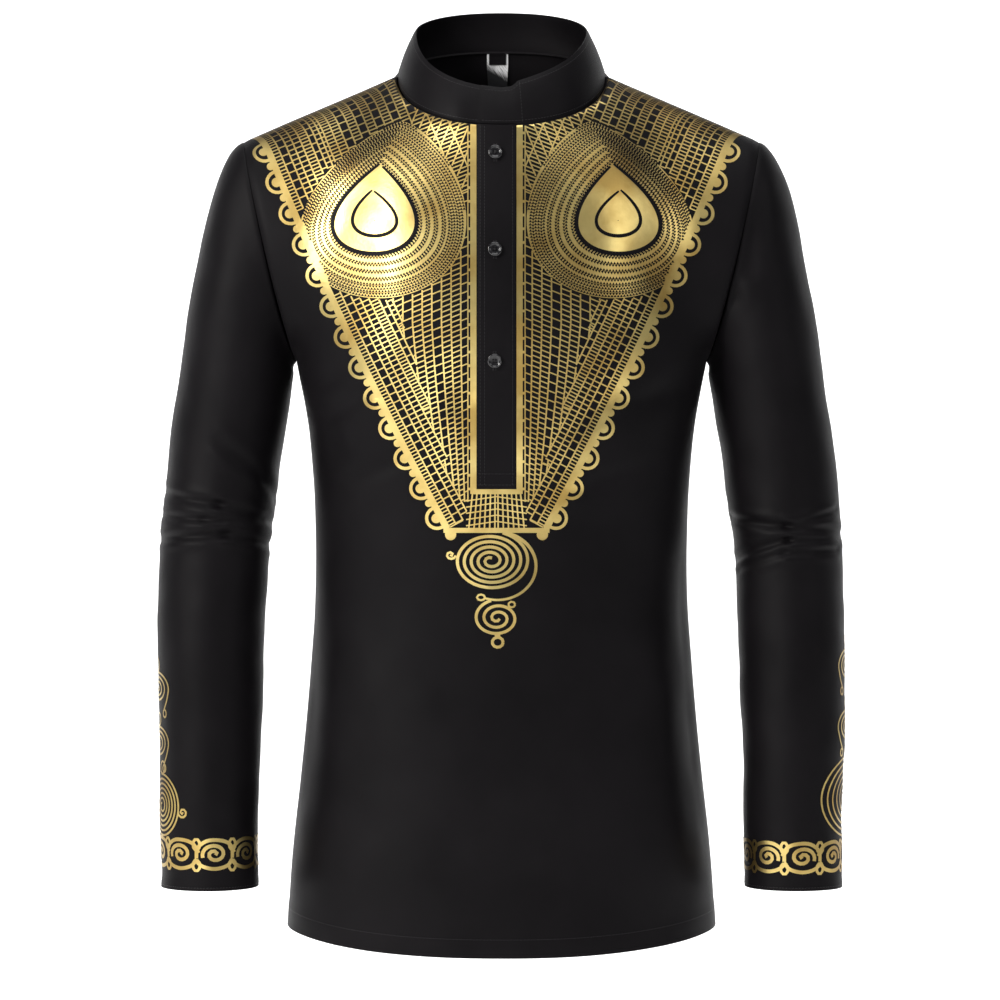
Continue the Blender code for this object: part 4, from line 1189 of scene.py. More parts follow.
def silver_satin():
    """Woven satin tape, pale silver, with painted sheen in slanting streaks and painted shade to black
    towards its foot.
    """
    material, tree, shader = new_finish("silver_satin", {"Roughness": 0.40, "Sheen Weight": 0.2})
    place = add_node(tree, "ShaderNodeTexCoord")
    lie = {
        "Vector": place.outputs["UV"],
        "Rotation": (0.0, 0.0, math.radians(32)),
        "Scale": (0.0007, 0.0080, 1.0),
    }
    slant = add_node(tree, "ShaderNodeMapping", vector_type="TEXTURE")
    # Painted sheen: slanting streaks of noise that light up the silver.
    painted_sheen_streaks = mottled(tree, feed(slant, lie).outputs["Vector"], 1.0, 3.0)
    split = add_node(tree, "ShaderNodeSeparateXYZ", {"Vector": place.outputs["UV"]})
    # Painted shade: a slanting ramp that darkens the label to black towards its lower end, where the collar
    # shades it.
    slope = {0: split.outputs["X"], 1: 0.58, 2: split.outputs["Y"]}
    slope = add_node(tree, "ShaderNodeMath", slope, operation="MULTIPLY_ADD")
    fade = {"Value": slope.outputs["Value"], "From Min": 0.0050, "From Max": 0.0200}
    fade = add_node(tree, "ShaderNodeMapRange", fade)
    # The painted shade and the painted sheen together pick the colour, from near black to pale silver.
    both = add_node(tree, "ShaderNodeMath", {0: fade.outputs["Result"], 1: painted_sheen_streaks}, operation="MULTIPLY")
    shades = shades_of(tree, both.outputs["Value"], (0.006, 0.006, 0.007), (0.97, 0.97, 0.98), 0.16, 0.46)
    feed(shader, {"Base Color": shades})
    return material


def hanging_strip(half_width, length, off, curl):
    """A strip inside the back, hung from the collar seam and standing a little off the cloth."""
    order = np.argsort(back_inner[-1, :, 0])
    strip = []
    for fall in np.linspace(length, 0.0005, LABEL_ROWS + 1):
        row = []
        for share in np.linspace(-1.0, 1.0, LABEL_COLUMNS + 1):
            x = LABEL_X + share * half_width
            column = np.interp(x, back_inner[-1, order, 0], order)
            low, part = int(column), column - int(column)
            line = back_inner[::-1, low] * (1 - part) + back_inner[::-1, min(low + 1, len(order) - 1)] * part
            run = np.concatenate([[0.0], np.cumsum(np.linalg.norm(np.diff(line, axis=0), axis=1))])
            row.append([np.interp(fall, run, line[:, k]) for k in range(3)])
        strip.append(row)
    strip = np.array(strip)
    hung = np.linspace(1.0, 0.0, LABEL_ROWS + 1)[:, None]
    strip[..., 1] -= off + curl * hung**2
    return strip


label_face = hanging_strip(LABEL_HALF_WIDTH, LABEL_LENGTH, 0.0013, 0.0010)
label_back = np.array([0.0, LABEL_CLOTH, 0.0])
label = cloth_wall("shirt_neck_label", label_face, label_face + label_back, silver_satin())
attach(label, "root")
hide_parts("neck_label")
tab_face = hanging_strip(TAB_HALF_WIDTH, TAB_LENGTH, 0.0020, 0.0003)
tab = cloth_wall("shirt_size_tab", tab_face, tab_face + label_back, black_sateen)
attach(tab, "root")


# The print on the chest: gold foil pressed on the front in one go, a pointed bib of ladder-like lattice round
# a drop on each side, with a scalloped border. It is symmetric about the placket. Its flat artwork is laid
# out as seen from straight in front, and each point is then pressed on the cloth along that line of sight.
PRINT_MIDDLE = -0.0042
PRINT_STEP = 0.0026
FILL_LIFT = 0.00018
RAIL_LIFT = 0.00022
RUNG_LIFT = 0.00026
BAND_LIFT = 0.00030
BARE_LIFT = 0.00034
# The foil's painted shade: none where the cloth faces close to this forward way, then darker towards brown as
# it turns away.
FOIL_UNSHADED_FACING = 0.94
FOIL_SHADE_SPAN = 0.84
CHEST_UNSHADED_WAY = (0.0, -0.994, -0.109)

SKYLINE_MARGIN = 0.0007
SHOULDER_ROLL = 0.022

BORDER_TOP = -0.0554
BORDER_REACH = 0.1982
BORDER_LEAN = 0.40
BORDER_CURVE = 0.214
BORDER_ABOVE = 0.070
BORDER_FOOT = -0.3835
BORDER_BAND = 0.0056
SCALLOPS = 13
SCALLOP_FIRST = 0.010
SCALLOP_RADIUS = 0.0088
SCALLOP_STROKE = 0.0027
SCALLOP_EYE = 0.0040
SCALLOP_BEAD = 0.0032

PLACKET_BAND_INSIDE = 0.0168
PLACKET_BAND_WIDTH = 0.0052
PLACKET_BAND_TOP = -0.0437
PLACKET_BAND_FOOT = -0.3528
PIPING = 0.0240
PIPING_WIDTH = 0.0010

RAIL = 0.00125
RUNG = 0.00105
INNER_FIRST = 0.0300
INNER_PITCH = 0.0081
INNER_RAILS = 9
OUTER_COLUMNS = (0.0056, 0.0068, 0.0062, 0.0066)
NECK_PITCH = 0.0072
MITRE_TOP = (0.0794, -0.2066)
MITRE_LEAN = 0.33
MITRE_FOOT = -0.3595
COARSE_RUNGS = 0.0076
MIDDLE_RUNGS = 0.0043
FINE_RUNGS = 0.0030
NECK_RUNGS = 0.0040

Drop = namedtuple("Drop", "half_width middle tip foot lean sharpness")
DROP_CORE = Drop(0.0186, 0.1021, -0.0976, -0.1362, 0.0020, 1.0)
DROP_SHAPE = Drop(0.0352, 0.1029, -0.0758, -0.1512, -0.0050, 1.0)
DROP_FIELD = Drop(0.0690, 0.0985, -0.0450, -0.1885, -0.0170, 0.55)
DROP_RINGS = 6
DROP_POINTS = 168
DOT_PITCH = 0.0026
DOT_SIZE = 0.00138


def length_along(path):
    """The length run at each point of a path."""
    return np.concatenate([[0.0], np.cumsum(np.linalg.norm(np.diff(path, axis=0), axis=1))])


class FlatPrint:
    """Flat artwork: strips and patches of foil in one plane, each point with its lift off the cloth."""

    def __init__(self):
        self.places, self.lifts, self.faces = [], [], []

    def patch(self, grid, lift, kept=None):
        """A grid of quads, each one turned to face the viewer; kept says which centres stay."""
        grid = np.asarray(grid, float)
        rows, columns = grid.shape[:2]
        first = sum(len(part) for part in self.places)
        number = np.arange(rows * columns).reshape(rows, columns) + first
        quads = np.stack([number[:-1, :-1], number[:-1, 1:], number[1:, 1:], number[1:, :-1]], axis=-1)
        corners = np.stack([grid[:-1, :-1], grid[:-1, 1:], grid[1:, 1:], grid[1:, :-1]], axis=2)
        quads, corners = quads.reshape(-1, 4), corners.reshape(-1, 4, 2)
        if kept is not None:
            stay = kept(corners.mean(axis=1))
            quads, corners = quads[stay], corners[stay]
        after = np.roll(corners, -1, axis=1)
        turned = (corners[..., 0] * after[..., 1] - corners[..., 1] * after[..., 0]).sum(axis=1) < 0
        quads[turned] = quads[turned][:, ::-1]
        self.places.append(grid.reshape(-1, 2))
        self.lifts.append(np.full(rows * columns, lift))
        self.faces.extend(quads.tolist())

    def ribbon(self, path, width, lift, kept=None):
        """A strip of even or tapering width along a path."""
        path = np.asarray(path, float)
        run = length_along(path)
        count = max(2, int(math.ceil(run[-1] / PRINT_STEP)) + 1)
        at = np.linspace(0.0, run[-1], count)
        line = np.stack([np.interp(at, run, path[:, 0]), np.interp(at, run, path[:, 1])], axis=-1)
        wide = np.interp(at, run, np.broadcast_to(width, run.shape))
        along = np.gradient(line, axis=0)
        along /= np.maximum(np.linalg.norm(along, axis=1, keepdims=True), 1e-12)
        beside = np.stack([-along[:, 1], along[:, 0]], axis=-1) * wide[:, None]
        across = max(2, int(math.ceil(wide.max() / PRINT_STEP)) + 1)
        self.patch([line + beside * share for share in np.linspace(-0.5, 0.5, across)], lift, kept)

    def disc(self, centre, radius, lift):
        turns = np.linspace(0.0, 2 * math.pi, 17)
        edge = np.stack([np.cos(turns), np.sin(turns)], axis=-1) * radius
        self.patch([np.asarray(centre) + edge * share for share in (0.02, 0.55, 1.0)], lift)

    def spot(self, corner_points, lift):
        """One small three-cornered spot."""
        first = sum(len(part) for part in self.places)
        corners = np.asarray(corner_points, float)
        (ax, az), (bx, bz), (cx, cz) = corners
        order = [0, 1, 2] if (bx - ax) * (cz - az) - (bz - az) * (cx - ax) > 0 else [0, 2, 1]
        self.places.append(corners)
        self.lifts.append(np.full(3, lift))
        self.faces.append([first + k for k in order])


def press_tree():
    """Geometry Nodes that drop flat artwork on a cloth: each point runs along its own press direction to the
    cloth and stops its lift above it, and what misses the cloth is cut away."""
    sockets = [("Artwork", "Geometry"), ("Cloth", "Object"), ("Ink", "Material")]
    tree, given, end = new_group("press_on_cloth", sockets, "Pressed")

    def add(kind, inputs=None, **settings):
        return add_node(tree, kind, inputs, **settings).outputs

    cloth = add("GeometryNodeObjectInfo", {"Object": given["Cloth"]}, transform_space="ORIGINAL")
    press = add("GeometryNodeInputNamedAttribute", {"Name": "press"}, data_type="FLOAT_VECTOR")
    lift = add("GeometryNodeInputNamedAttribute", {"Name": "lift"}, data_type="FLOAT")
    aim = {"Target Geometry": cloth["Geometry"], "Ray Direction": press["Attribute"], "Ray Length": 1.0}
    cast = add("GeometryNodeRaycast", aim)
    missed = add("FunctionNodeBooleanMath", {0: cast["Is Hit"]}, operation="NOT")
    cut = add(
        "GeometryNodeDeleteGeometry",
        {"Geometry": given["Artwork"], "Selection": missed["Boolean"]},
        domain="POINT",
    )
    rise = {0: cast["Hit Normal"], "Scale": lift["Attribute"]}
    stand = add("ShaderNodeVectorMath", rise, operation="SCALE")
    landed = add("ShaderNodeVectorMath", {0: cast["Hit Position"], 1: stand["Vector"]}, operation="ADD")
    place = add("GeometryNodeSetPosition", {"Geometry": cut["Geometry"], "Position": landed["Vector"]})
    real = add("GeometryNodeRealizeInstances", {"Geometry": place["Geometry"]})
    ink = add("GeometryNodeSetMaterial", {"Geometry": real["Geometry"], "Material": given["Ink"]})
    feed(end, {"Pressed": ink["Geometry"]})
    return tree


def front_skyline():
    """The highest that straight in front shows of each column of the front, as (across, height)."""
    eye = np.array([0.0, -CAMERA_DISTANCE, CAMERA_HEIGHT])
    ray = front_outer - eye
    seen = eye + ray * (CAMERA_DISTANCE / ray[..., 1])[..., None]
    line = seen[seen[..., 2].argmax(axis=0), np.arange(seen.shape[1])]
    return line[np.argsort(line[:, 0])][:, [0, 2]]


def over_the_shoulder(flat):
    """Flat artwork keeps its scale on the cloth where the shoulders fall back, and ends at their seams."""
    top = np.interp(flat[:, 0], skyline[:, 0], skyline[:, 1]) - SKYLINE_MARGIN
    shoulder = smooth((np.abs(flat[:, 0]) - 0.080) / 0.030)
    past = np.clip(flat[:, 1] - (top - SHOULDER_ROLL), 0.0, 2 * SHOULDER_ROLL)
    height = flat[:, 1] - shoulder * past**2 / (4 * SHOULDER_ROLL)
    return np.stack([flat[:, 0], np.minimum(height, top)], axis=-1)


def seen_from_front(flat):
    """Where flat artwork starts in front of the chest, and the way it is pressed."""
    eye = np.array([0.0, -CAMERA_DISTANCE, CAMERA_HEIGHT])
    flat = over_the_shoulder(flat)
    target = points(flat[:, 0], 0.0, flat[:, 1])
    press = (target - eye) / np.linalg.norm(target - eye, axis=1, keepdims=True)
    return target - press * 0.35, press


def press_print(name, artwork, cloth, ink, layout, flipped=False, longest=0.009, shade_painting=None):
    flat, lifts = np.concatenate(artwork.places), np.concatenate(artwork.lifts)
    starts, press = layout(flat)
    faces = [face[::-1] for face in artwork.faces] if flipped else artwork.faces
    data = bpy.data.meshes.new(name)
    data.from_pydata(starts.tolist(), [], faces)
    data.attributes.new("press", "FLOAT_VECTOR", "POINT").data.foreach_set("vector", press.reshape(-1))
    data.attributes.new("lift", "FLOAT", "POINT").data.foreach_set("value", lifts)
    piece = put_in_scene(name, data)
    presser = piece.modifiers.new("press", "NODES")
    presser.node_group = press_nodes
    set_inputs(presser, Cloth=cloth, Ink=ink)
    plain_mesh(piece, longest)
    # Painted shade: darkens the foil where its cloth turns from the front.
    if shade_painting:
        paint_foil_shade(piece, *shade_painting)
    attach(piece, "root")


def gold_foil():
    """Transfer foil: thin bright metal with the cloth's crinkles and duller patches. It carries painted
    shade, mixed towards dark brown where the piece's own attribute of painted shade says so."""
    material, tree, shader = new_finish("gold_foil", {"Metallic": 1.0})
    place = add_node(tree, "ShaderNodeTexCoord")
    patches = mottled(tree, place.outputs["Object"], 26.0, 5.0)
    shades = shades_of(tree, patches, (0.55, 0.37, 0.11), (0.94, 0.75, 0.29), 0.34, 0.66)
    # Painted shade: the piece's attribute mixes the gold towards a dark brown where the cloth turns from the
    # front.
    painted_shade = add_node(tree, "ShaderNodeAttribute", attribute_name="painted_shade")
    tones = {"Factor": painted_shade.outputs["Fac"], "A": shades, "B": (0.16, 0.10, 0.045, 1.0)}
    shaded_gold = add_node(tree, "ShaderNodeMix", tones, data_type="RGBA")
    crinkle = mottled(tree, place.outputs["Object"], 420.0, 3.0)
    feed(shader, {"Base Color": shaded_gold.outputs["Result"], "Roughness": between(tree, patches, 0.46, 0.28)})
    feed(shader, {"Normal": raised(tree, crinkle, 0.28, 0.0004)})
    return material


def paint_foil_shade(piece, unshaded_way, most):
    """Stores the painted shade of the foil on a piece: more, the further the cloth turns from its unshaded
    way, up to most.
    """
    normals = np.zeros(3 * len(piece.data.vertices), np.float32)
    piece.data.vertex_normals.foreach_get("vector", normals)
    straight = np.abs(normals.reshape(-1, 3) @ np.array(unshaded_way))
    painted_shade = np.clip((FOIL_UNSHADED_FACING - straight) / FOIL_SHADE_SPAN, 0.0, most)
    attribute = piece.data.attributes.new("painted_shade", "FLOAT", "POINT")
    attribute.data.foreach_set("value", painted_shade.astype(np.float32))


def border_line(depth_below_top):
    """The bib's outer edge, as (distance from the middle, height), at depths below the shoulder point."""
    below = np.maximum(depth_below_top, 0.0)
    reach = BORDER_REACH - BORDER_LEAN * depth_below_top - BORDER_CURVE * below**2
    return np.stack([reach, BORDER_TOP - depth_below_top], axis=-1)


border_depths = np.linspace(-BORDER_ABOVE, BORDER_TOP - BORDER_FOOT, 400)
border_points = border_line(border_depths)
border_run = length_along(border_points)
border_run -= np.interp(0.0, border_depths, border_run)
border_along = np.gradient(border_points, axis=0)
border_along /= np.linalg.norm(border_along, axis=1, keepdims=True)
border_inward = np.stack([border_along[:, 1], -border_along[:, 0]], axis=-1)


def from_border(run, inwards):
    """A point a run down the border and so far inwards of it."""
    run, inwards = np.broadcast_arrays(np.asarray(run, float), inwards)
    point = [
        np.interp(run, border_run, border_points[:, k])
        + inwards * np.interp(run, border_run, border_inward[:, k])
        for k in (0, 1)
    ]
    return np.stack(point, axis=-1)


def border_reach(height):
    depth = BORDER_TOP - np.asarray(height, float)
    return border_line(depth)[..., 0]


def drop_points(drop, turns):
    """A drop's outline: turns runs from 0 at its tip round to 2 pi."""
    fine = np.linspace(0.0, math.pi, 200)
    peak = (np.sin(fine) * np.sin(fine / 2) ** drop.sharpness).max()
    across = np.sin(turns) * np.abs(np.sin(turns / 2)) ** drop.sharpness / peak
    up = (1 + np.cos(turns)) / 2
    x = drop.middle + drop.half_width * across + drop.lean * up**2
    return np.stack([x, drop.foot + (drop.tip - drop.foot) * up], axis=-1)


def between_drops(start, end, share):
    return Drop(*(a + (b - a) * share for a, b in zip(start, end)))


def field_reach(turns):
    """The dotted field reaches further out above the drop, towards the shoulder."""
    up = (1 + np.cos(turns)) / 2
    return 1.0 + 0.16 * up**2


def inside_outline(point, outline):
    """Whether each point lies in a closed outline, by the edges that it passes under."""
    after = np.roll(outline, -1, axis=0)
    x, z = point[..., 0, None], point[..., 1, None]
    spans = (outline[:, 0] > x) != (after[:, 0] > x)
    width = np.where(after[:, 0] == outline[:, 0], 1e-12, after[:, 0] - outline[:, 0])
    over = outline[:, 1] + (x - outline[:, 0]) / width * (after[:, 1] - outline[:, 1]) > z
    return (spans & over).sum(axis=-1) % 2 == 1


drop_turns = np.linspace(0.0, 2 * math.pi, DROP_POINTS + 1)
field_rings = [between_drops(DROP_SHAPE, DROP_FIELD, share) for share in np.linspace(0.0, 1.2, 19)]
field_shares = np.linspace(0.0, 1.2, 19)
field_table = np.array([drop_points(ring, drop_turns) for ring in field_rings])


def field_points(shares):
    """Points of the dotted field, at a share of the way out for each turn of the drop."""
    place = np.interp(shares, field_shares, np.arange(len(field_shares)))
    low = np.minimum(place.astype(int), len(field_shares) - 2)
    column = np.arange(DROP_POINTS + 1)
    part = (place - low)[:, None]
    return field_table[low, column] * (1 - part) + field_table[low + 1, column] * part


field_edge = field_points(field_reach(drop_turns))


def inner_rail(number, height):
    """How far an inner rail stands from the middle: upright beside the drops, gathered in at the foot."""
    fall = np.clip((-0.209 - height) / 0.150, 0.0, 1.1)
    base = INNER_FIRST + INNER_PITCH * number
    reach = PIPING + (base - PIPING) * (1 - 0.25 * fall - 0.28 * fall**2)
    return reach - 0.42 * np.maximum(height + 0.098, 0.0)


def mitre_reach(height):
    """The line on which the inner and the outer rails meet below the drops."""
    return MITRE_TOP[0] + MITRE_LEAN * (height - MITRE_TOP[1])


def kept_runs(path, kept):
    edges = np.flatnonzero(np.diff(np.concatenate([[0], kept.astype(int), [0]])))
    return [path[a:b] for a, b in edges.reshape(-1, 2) if b - a > 1]


def half_bib(side, foil, bare):
    """One half of the bib's print, on the viewer's left (side -1) or right (side 1) of its middle."""

    def placed(path):
        path = np.asarray(path, float)
        return np.stack([PRINT_MIDDLE + side * path[..., 0], path[..., 1]], axis=-1)

    def within(centres):
        reach = (centres[:, 0] - PRINT_MIDDLE) * side
        return reach < border_reach(centres[:, 1]) - 0.8 * BORDER_BAND

    def rail(path, kept, width=RAIL, lift=RAIL_LIFT):
        for run in kept_runs(path, kept):
            foil.ribbon(placed(run), width, lift)

    def rungs(starts, ends, kept, width=RUNG):
        for start, end, stays in zip(starts, ends, kept):
            if stays:
                foil.ribbon(placed([start, end]), width, RUNG_LIFT)

    # The drop, its two drawn lines and the dotted rings round it.
    core = drop_points(DROP_CORE, drop_turns)
    heart = np.array([DROP_CORE.middle, (DROP_CORE.tip + 2 * DROP_CORE.foot) / 3])
    shape = drop_points(DROP_SHAPE, drop_turns)
    foil.patch([placed(heart + (core - heart) * share) for share in np.linspace(0.02, 1.0, 9)], FILL_LIFT)
    foil.patch([placed(core + (shape - core) * share) for share in np.linspace(0.0, 1.0, 9)], FILL_LIFT)
    rings = [field_points(share * field_reach(drop_turns)) for share in np.linspace(0.0, 1.0, 18)]
    foil.patch([placed(ring) for ring in rings], FILL_LIFT, within)
    for outline, thickest in ((core, 0.0030), (shape, 0.0036)):
        opened = slice(2, -9)
        pen = 0.0009 + (thickest - 0.0009) * np.abs(np.sin(drop_turns / 2)) ** 0.6
        bare.ribbon(placed(outline[opened]), pen[opened], BARE_LIFT)
    for ring in range(DROP_RINGS + 1):
        for row, share in enumerate((0.30, 0.60) if ring < 4 else (0.10, 0.42, 0.75)):
            out = (ring + share) / DROP_RINGS
            reach = field_reach(drop_turns)
            line = field_points(np.minimum(out, 1.2) * np.ones_like(reach))
            seen = np.full(len(reach), out) < reach - 0.02
            run = length_along(line)
            count = int(run[-1] / DOT_PITCH)
            at = (np.arange(count) + 0.5 * row) * run[-1] / count
            dots = np.stack([np.interp(at, run, line[:, k]) for k in (0, 1)], axis=-1)
            shows = np.interp(at, run, seen.astype(float)) > 0.99
            shows &= dots[:, 0] < border_reach(dots[:, 1]) - BORDER_BAND - DOT_SIZE
            shows &= dots[:, 0] > PIPING + 2 * DOT_SIZE
            point_up = 1 if row % 2 == 0 else -1
            wedge = DOT_SIZE * np.array([[0.0, point_up], [-0.95, -0.6 * point_up], [0.95, -0.6 * point_up]])
            for dot in dots[shows]:
                bare.spot(placed(dot + wedge), BARE_LIFT)

    def clear_of_field(path):
        return ~inside_outline(path, field_edge)

    # Outer rails run with the border, down to the mitre line below the drops.
    tips = []
    for number in range(INNER_RAILS):
        heights = np.linspace(MITRE_TOP[1] + 0.03, MITRE_FOOT, 300)
        gap = mitre_reach(heights) - inner_rail(number, heights)
        if gap[0] > 0 > gap[-1]:
            height = heights[np.argmax(gap < 0)]
            tips.append((mitre_reach(height), height))
    offsets = [BORDER_BAND]
    for column in OUTER_COLUMNS:
        offsets.append(offsets[-1] + column)
    for tip in sorted(tips, key=lambda tip: tip[1]):
        near = from_border(border_run, 0.0) - np.array(tip)
        inwards = np.linalg.norm(near, axis=1).min()
        if inwards > offsets[-1] + 0.0026:
            offsets.append(inwards)
    while offsets[-1] < 0.175:
        offsets.append(offsets[-1] + NECK_PITCH)
    runs = np.linspace(-0.068, border_run[-1], 170)

    def outer_kept(path):
        reach, height = path[..., 0], path[..., 1]
        low = (reach > np.where(height > MITRE_FOOT, mitre_reach(height), 0.0245)) | (height > -0.100)
        return clear_of_field(path) & low & (reach > PIPING) & (height > BORDER_FOOT + 0.001)

    for number, offset in enumerate(offsets[1:]):
        path = from_border(runs, offset)
        laddered = (path[:, 0] < inner_rail(INNER_RAILS - 1, path[:, 1])) & (path[:, 1] > -0.098)
        rail(path, outer_kept(path) & ~(laddered & (number % 2 == 0)))
    for number, (left, right) in enumerate(zip(offsets[:-1], offsets[1:])):
        kind = (FINE_RUNGS, COARSE_RUNGS, MIDDLE_RUNGS, MIDDLE_RUNGS)[number % 4]
        if left > 0.055:
            kind = FINE_RUNGS if number % 2 else COARSE_RUNGS
        at = [runs[0]]
        while at[-1] < runs[-1]:
            close = kind == COARSE_RUNGS and at[-1] < -0.012
            at.append(at[-1] + (0.0024 if close else kind))
        at = np.array(at)
        starts, ends = from_border(at, left), from_border(at, right)
        middle = (starts + ends) / 2
        open_net = (middle[:, 0] < inner_rail(INNER_RAILS - 1, middle[:, 1])) & (middle[:, 1] > -0.098)
        rungs(starts, ends, outer_kept(middle) & outer_kept(starts + (ends - starts) * 0.9) & ~open_net)

    # Inner rails stand beside the placket, and their rungs climb towards it.
    heights = np.linspace(-0.030, MITRE_FOOT, 190)
    meeting = np.full_like(heights, 1.0)
    for offset in offsets[1:]:
        path = from_border(runs, offset)
        reach = np.interp(-heights, -path[:, 1], path[:, 0])
        meeting = np.where((reach > mitre_reach(heights)) & (reach < meeting), reach, meeting)

    def meeting_reach(height):
        """How far out the innermost outer rail is that still runs at each height."""
        return np.interp(-height, -heights, meeting)

    def inner_kept(path):
        reach, height = path[..., 0], path[..., 1]
        low = (reach < meeting_reach(height)) | (height > -0.12)
        high = reach < 0.092
        return clear_of_field(path) & low & high & (reach > PIPING - 0.0005)

    reaches = [np.full_like(heights, PIPING)] + [inner_rail(number, heights) for number in range(INNER_RAILS)]
    for reach in reaches[1:]:
        path = np.stack([reach, heights], axis=-1)
        rail(path, inner_kept(path))
    for number, (near, far) in enumerate(zip(reaches[:-1], reaches[1:])):
        kind = (COARSE_RUNGS, MIDDLE_RUNGS, MIDDLE_RUNGS)[number % 3]
        at = np.arange(-0.100, MITRE_FOOT, -kind)
        at = np.concatenate([np.arange(-0.034, -0.0985, -NECK_RUNGS), at])
        near_reach = np.interp(-at, -heights, near)
        far_reach = np.interp(-at, -heights, far)
        tilt = 0.40 * (far_reach - near_reach) / 2
        starts = np.stack([near_reach, at + tilt], axis=-1)
        ends = np.stack([far_reach, at - tilt], axis=-1)
        middle = (starts + ends) / 2
        cut_ends = np.minimum(ends[:, 0], meeting_reach(ends[:, 1]) + 0.0004)
        ends[:, 0] = np.where(at < -0.12, cut_ends, ends[:, 0])
        stays = inner_kept(starts + (middle - starts) * 0.6) & (ends[:, 0] > starts[:, 0] + 0.0008)
        rungs(starts, ends, stays)

    # The fan of short rails under the placket.
    for number in range(6):
        top_reach = 0.0038 * number + 0.0012
        fan = np.array([[top_reach, PLACKET_BAND_FOOT], [top_reach * 1.16, BORDER_FOOT]])
        foil.ribbon(placed(fan), RAIL, RAIL_LIFT)
    for height in np.arange(PLACKET_BAND_FOOT - 0.0048, BORDER_FOOT, -0.0052):
        foil.ribbon(placed([[0.0, height + 0.0025], [0.0255, height - 0.0012]]), RUNG, RUNG_LIFT)

    # The placket's edging with its thin piping, and the bib's border with its scallops.
    edge = PLACKET_BAND_INSIDE + PLACKET_BAND_WIDTH / 2
    band = np.array([[edge, PLACKET_BAND_TOP], [edge, PLACKET_BAND_FOOT]])
    foil.ribbon(placed(band), PLACKET_BAND_WIDTH, BAND_LIFT)
    foil.disc(placed([edge, PLACKET_BAND_TOP]), PLACKET_BAND_WIDTH / 2, BAND_LIFT + 0.00003)
    foil.ribbon(placed([[PIPING, PLACKET_BAND_TOP], [PIPING, MITRE_FOOT]]), PIPING_WIDTH, RAIL_LIFT)
    for height in np.arange(PLACKET_BAND_TOP - 0.006, MITRE_FOOT, -0.0115):
        foil.ribbon(placed([[edge, height], [PIPING, height]]), 0.0022, RUNG_LIFT)
    foot = np.array([[0.0, PLACKET_BAND_FOOT + 0.0018], [edge, PLACKET_BAND_FOOT + 0.0018]])
    foil.ribbon(placed(foot), 0.0042, BAND_LIFT + 0.00006)
    band_runs = np.linspace(-0.030, border_run[-1], 150)
    band_lines = [placed(from_border(band_runs, inwards)) for inwards in np.linspace(0.0, BORDER_BAND, 4)]
    foil.patch(band_lines, BAND_LIFT)
    bar = np.array([[0.0, BORDER_FOOT], [0.0445, BORDER_FOOT]])
    foil.ribbon(placed(bar), 0.0042, BAND_LIFT + 0.00006)
    foil.disc(placed([0.0385, BORDER_FOOT - 0.0035]), 0.0048, BAND_LIFT + 0.00009)
    spacing = (border_run[-1] - SCALLOP_FIRST - 0.012) / (SCALLOPS - 1)
    for number in range(SCALLOPS):
        run = SCALLOP_FIRST + number * spacing
        turns = np.radians(np.linspace(-104, 104, 25))
        arch = from_border(run + SCALLOP_RADIUS * np.sin(turns), -SCALLOP_RADIUS * np.cos(turns) * 1.04)
        foil.ribbon(placed(arch), SCALLOP_STROKE, BAND_LIFT + 0.00003)
        foil.disc(placed(from_border(run, -0.0012)), SCALLOP_EYE, BAND_LIFT + 0.00006)
        if number < SCALLOPS - 1:
            foil.disc(placed(from_border(run + spacing / 2, -0.0006)), SCALLOP_BEAD, BAND_LIFT + 0.00006)


press_nodes = press_tree()
skyline = front_skyline()
gold = gold_foil()
bib_foil, bib_bare = FlatPrint(), FlatPrint()
half_bib(-1, bib_foil, bib_bare)
half_bib(1, bib_foil, bib_bare)
# Painted shade on the chest's foil, darker towards brown where the cloth turns from the front.
chest_shade_painting = (CHEST_UNSHADED_WAY, 1.0)
press_print("print_bib_gold", bib_foil, front, gold, seen_from_front, shade_painting=chest_shade_painting)
press_print("print_bib_bare_lines", bib_bare, front, black_sateen, seen_from_front)


# The spirals printed below the bib, in the same foil.
PENDANT_STROKE = 0.0026


def spiral(centre, reach, rise, turns, start, turned=1, points_each=36):
    """A spiral from its outer end inwards; start is where it begins, in degrees from the right."""
    share = np.linspace(0.0, 1.0, int(turns * points_each))
    angle = math.radians(start) + turned * share * turns * 2 * math.pi
    size = 1.0 - share * (1 - 0.10)
    across, up = reach * size * np.cos(angle), rise * size * np.sin(angle)
    return np.stack([centre[0] + across, centre[1] + up], axis=-1)


def soft_path(knots, steps=12):
    """A smooth path through a few points."""
    knots = np.asarray(knots, float)
    pulls = np.gradient(knots, axis=0)
    t = np.linspace(0.0, 1.0, steps, endpoint=False)[:, None]
    parts = [hermite(knots[k], pulls[k], knots[k + 1], pulls[k + 1], t) for k in range(len(knots) - 1)]
    return np.concatenate([*parts, knots[-1:]])


def arc_path(centre, reach, rise, start, stop):
    """Part of an oval, from one angle to another in degrees from the right."""
    angle = np.radians(np.linspace(start, stop, 33))
    return np.stack([centre[0] + reach * np.cos(angle), centre[1] + rise * np.sin(angle)], axis=-1)


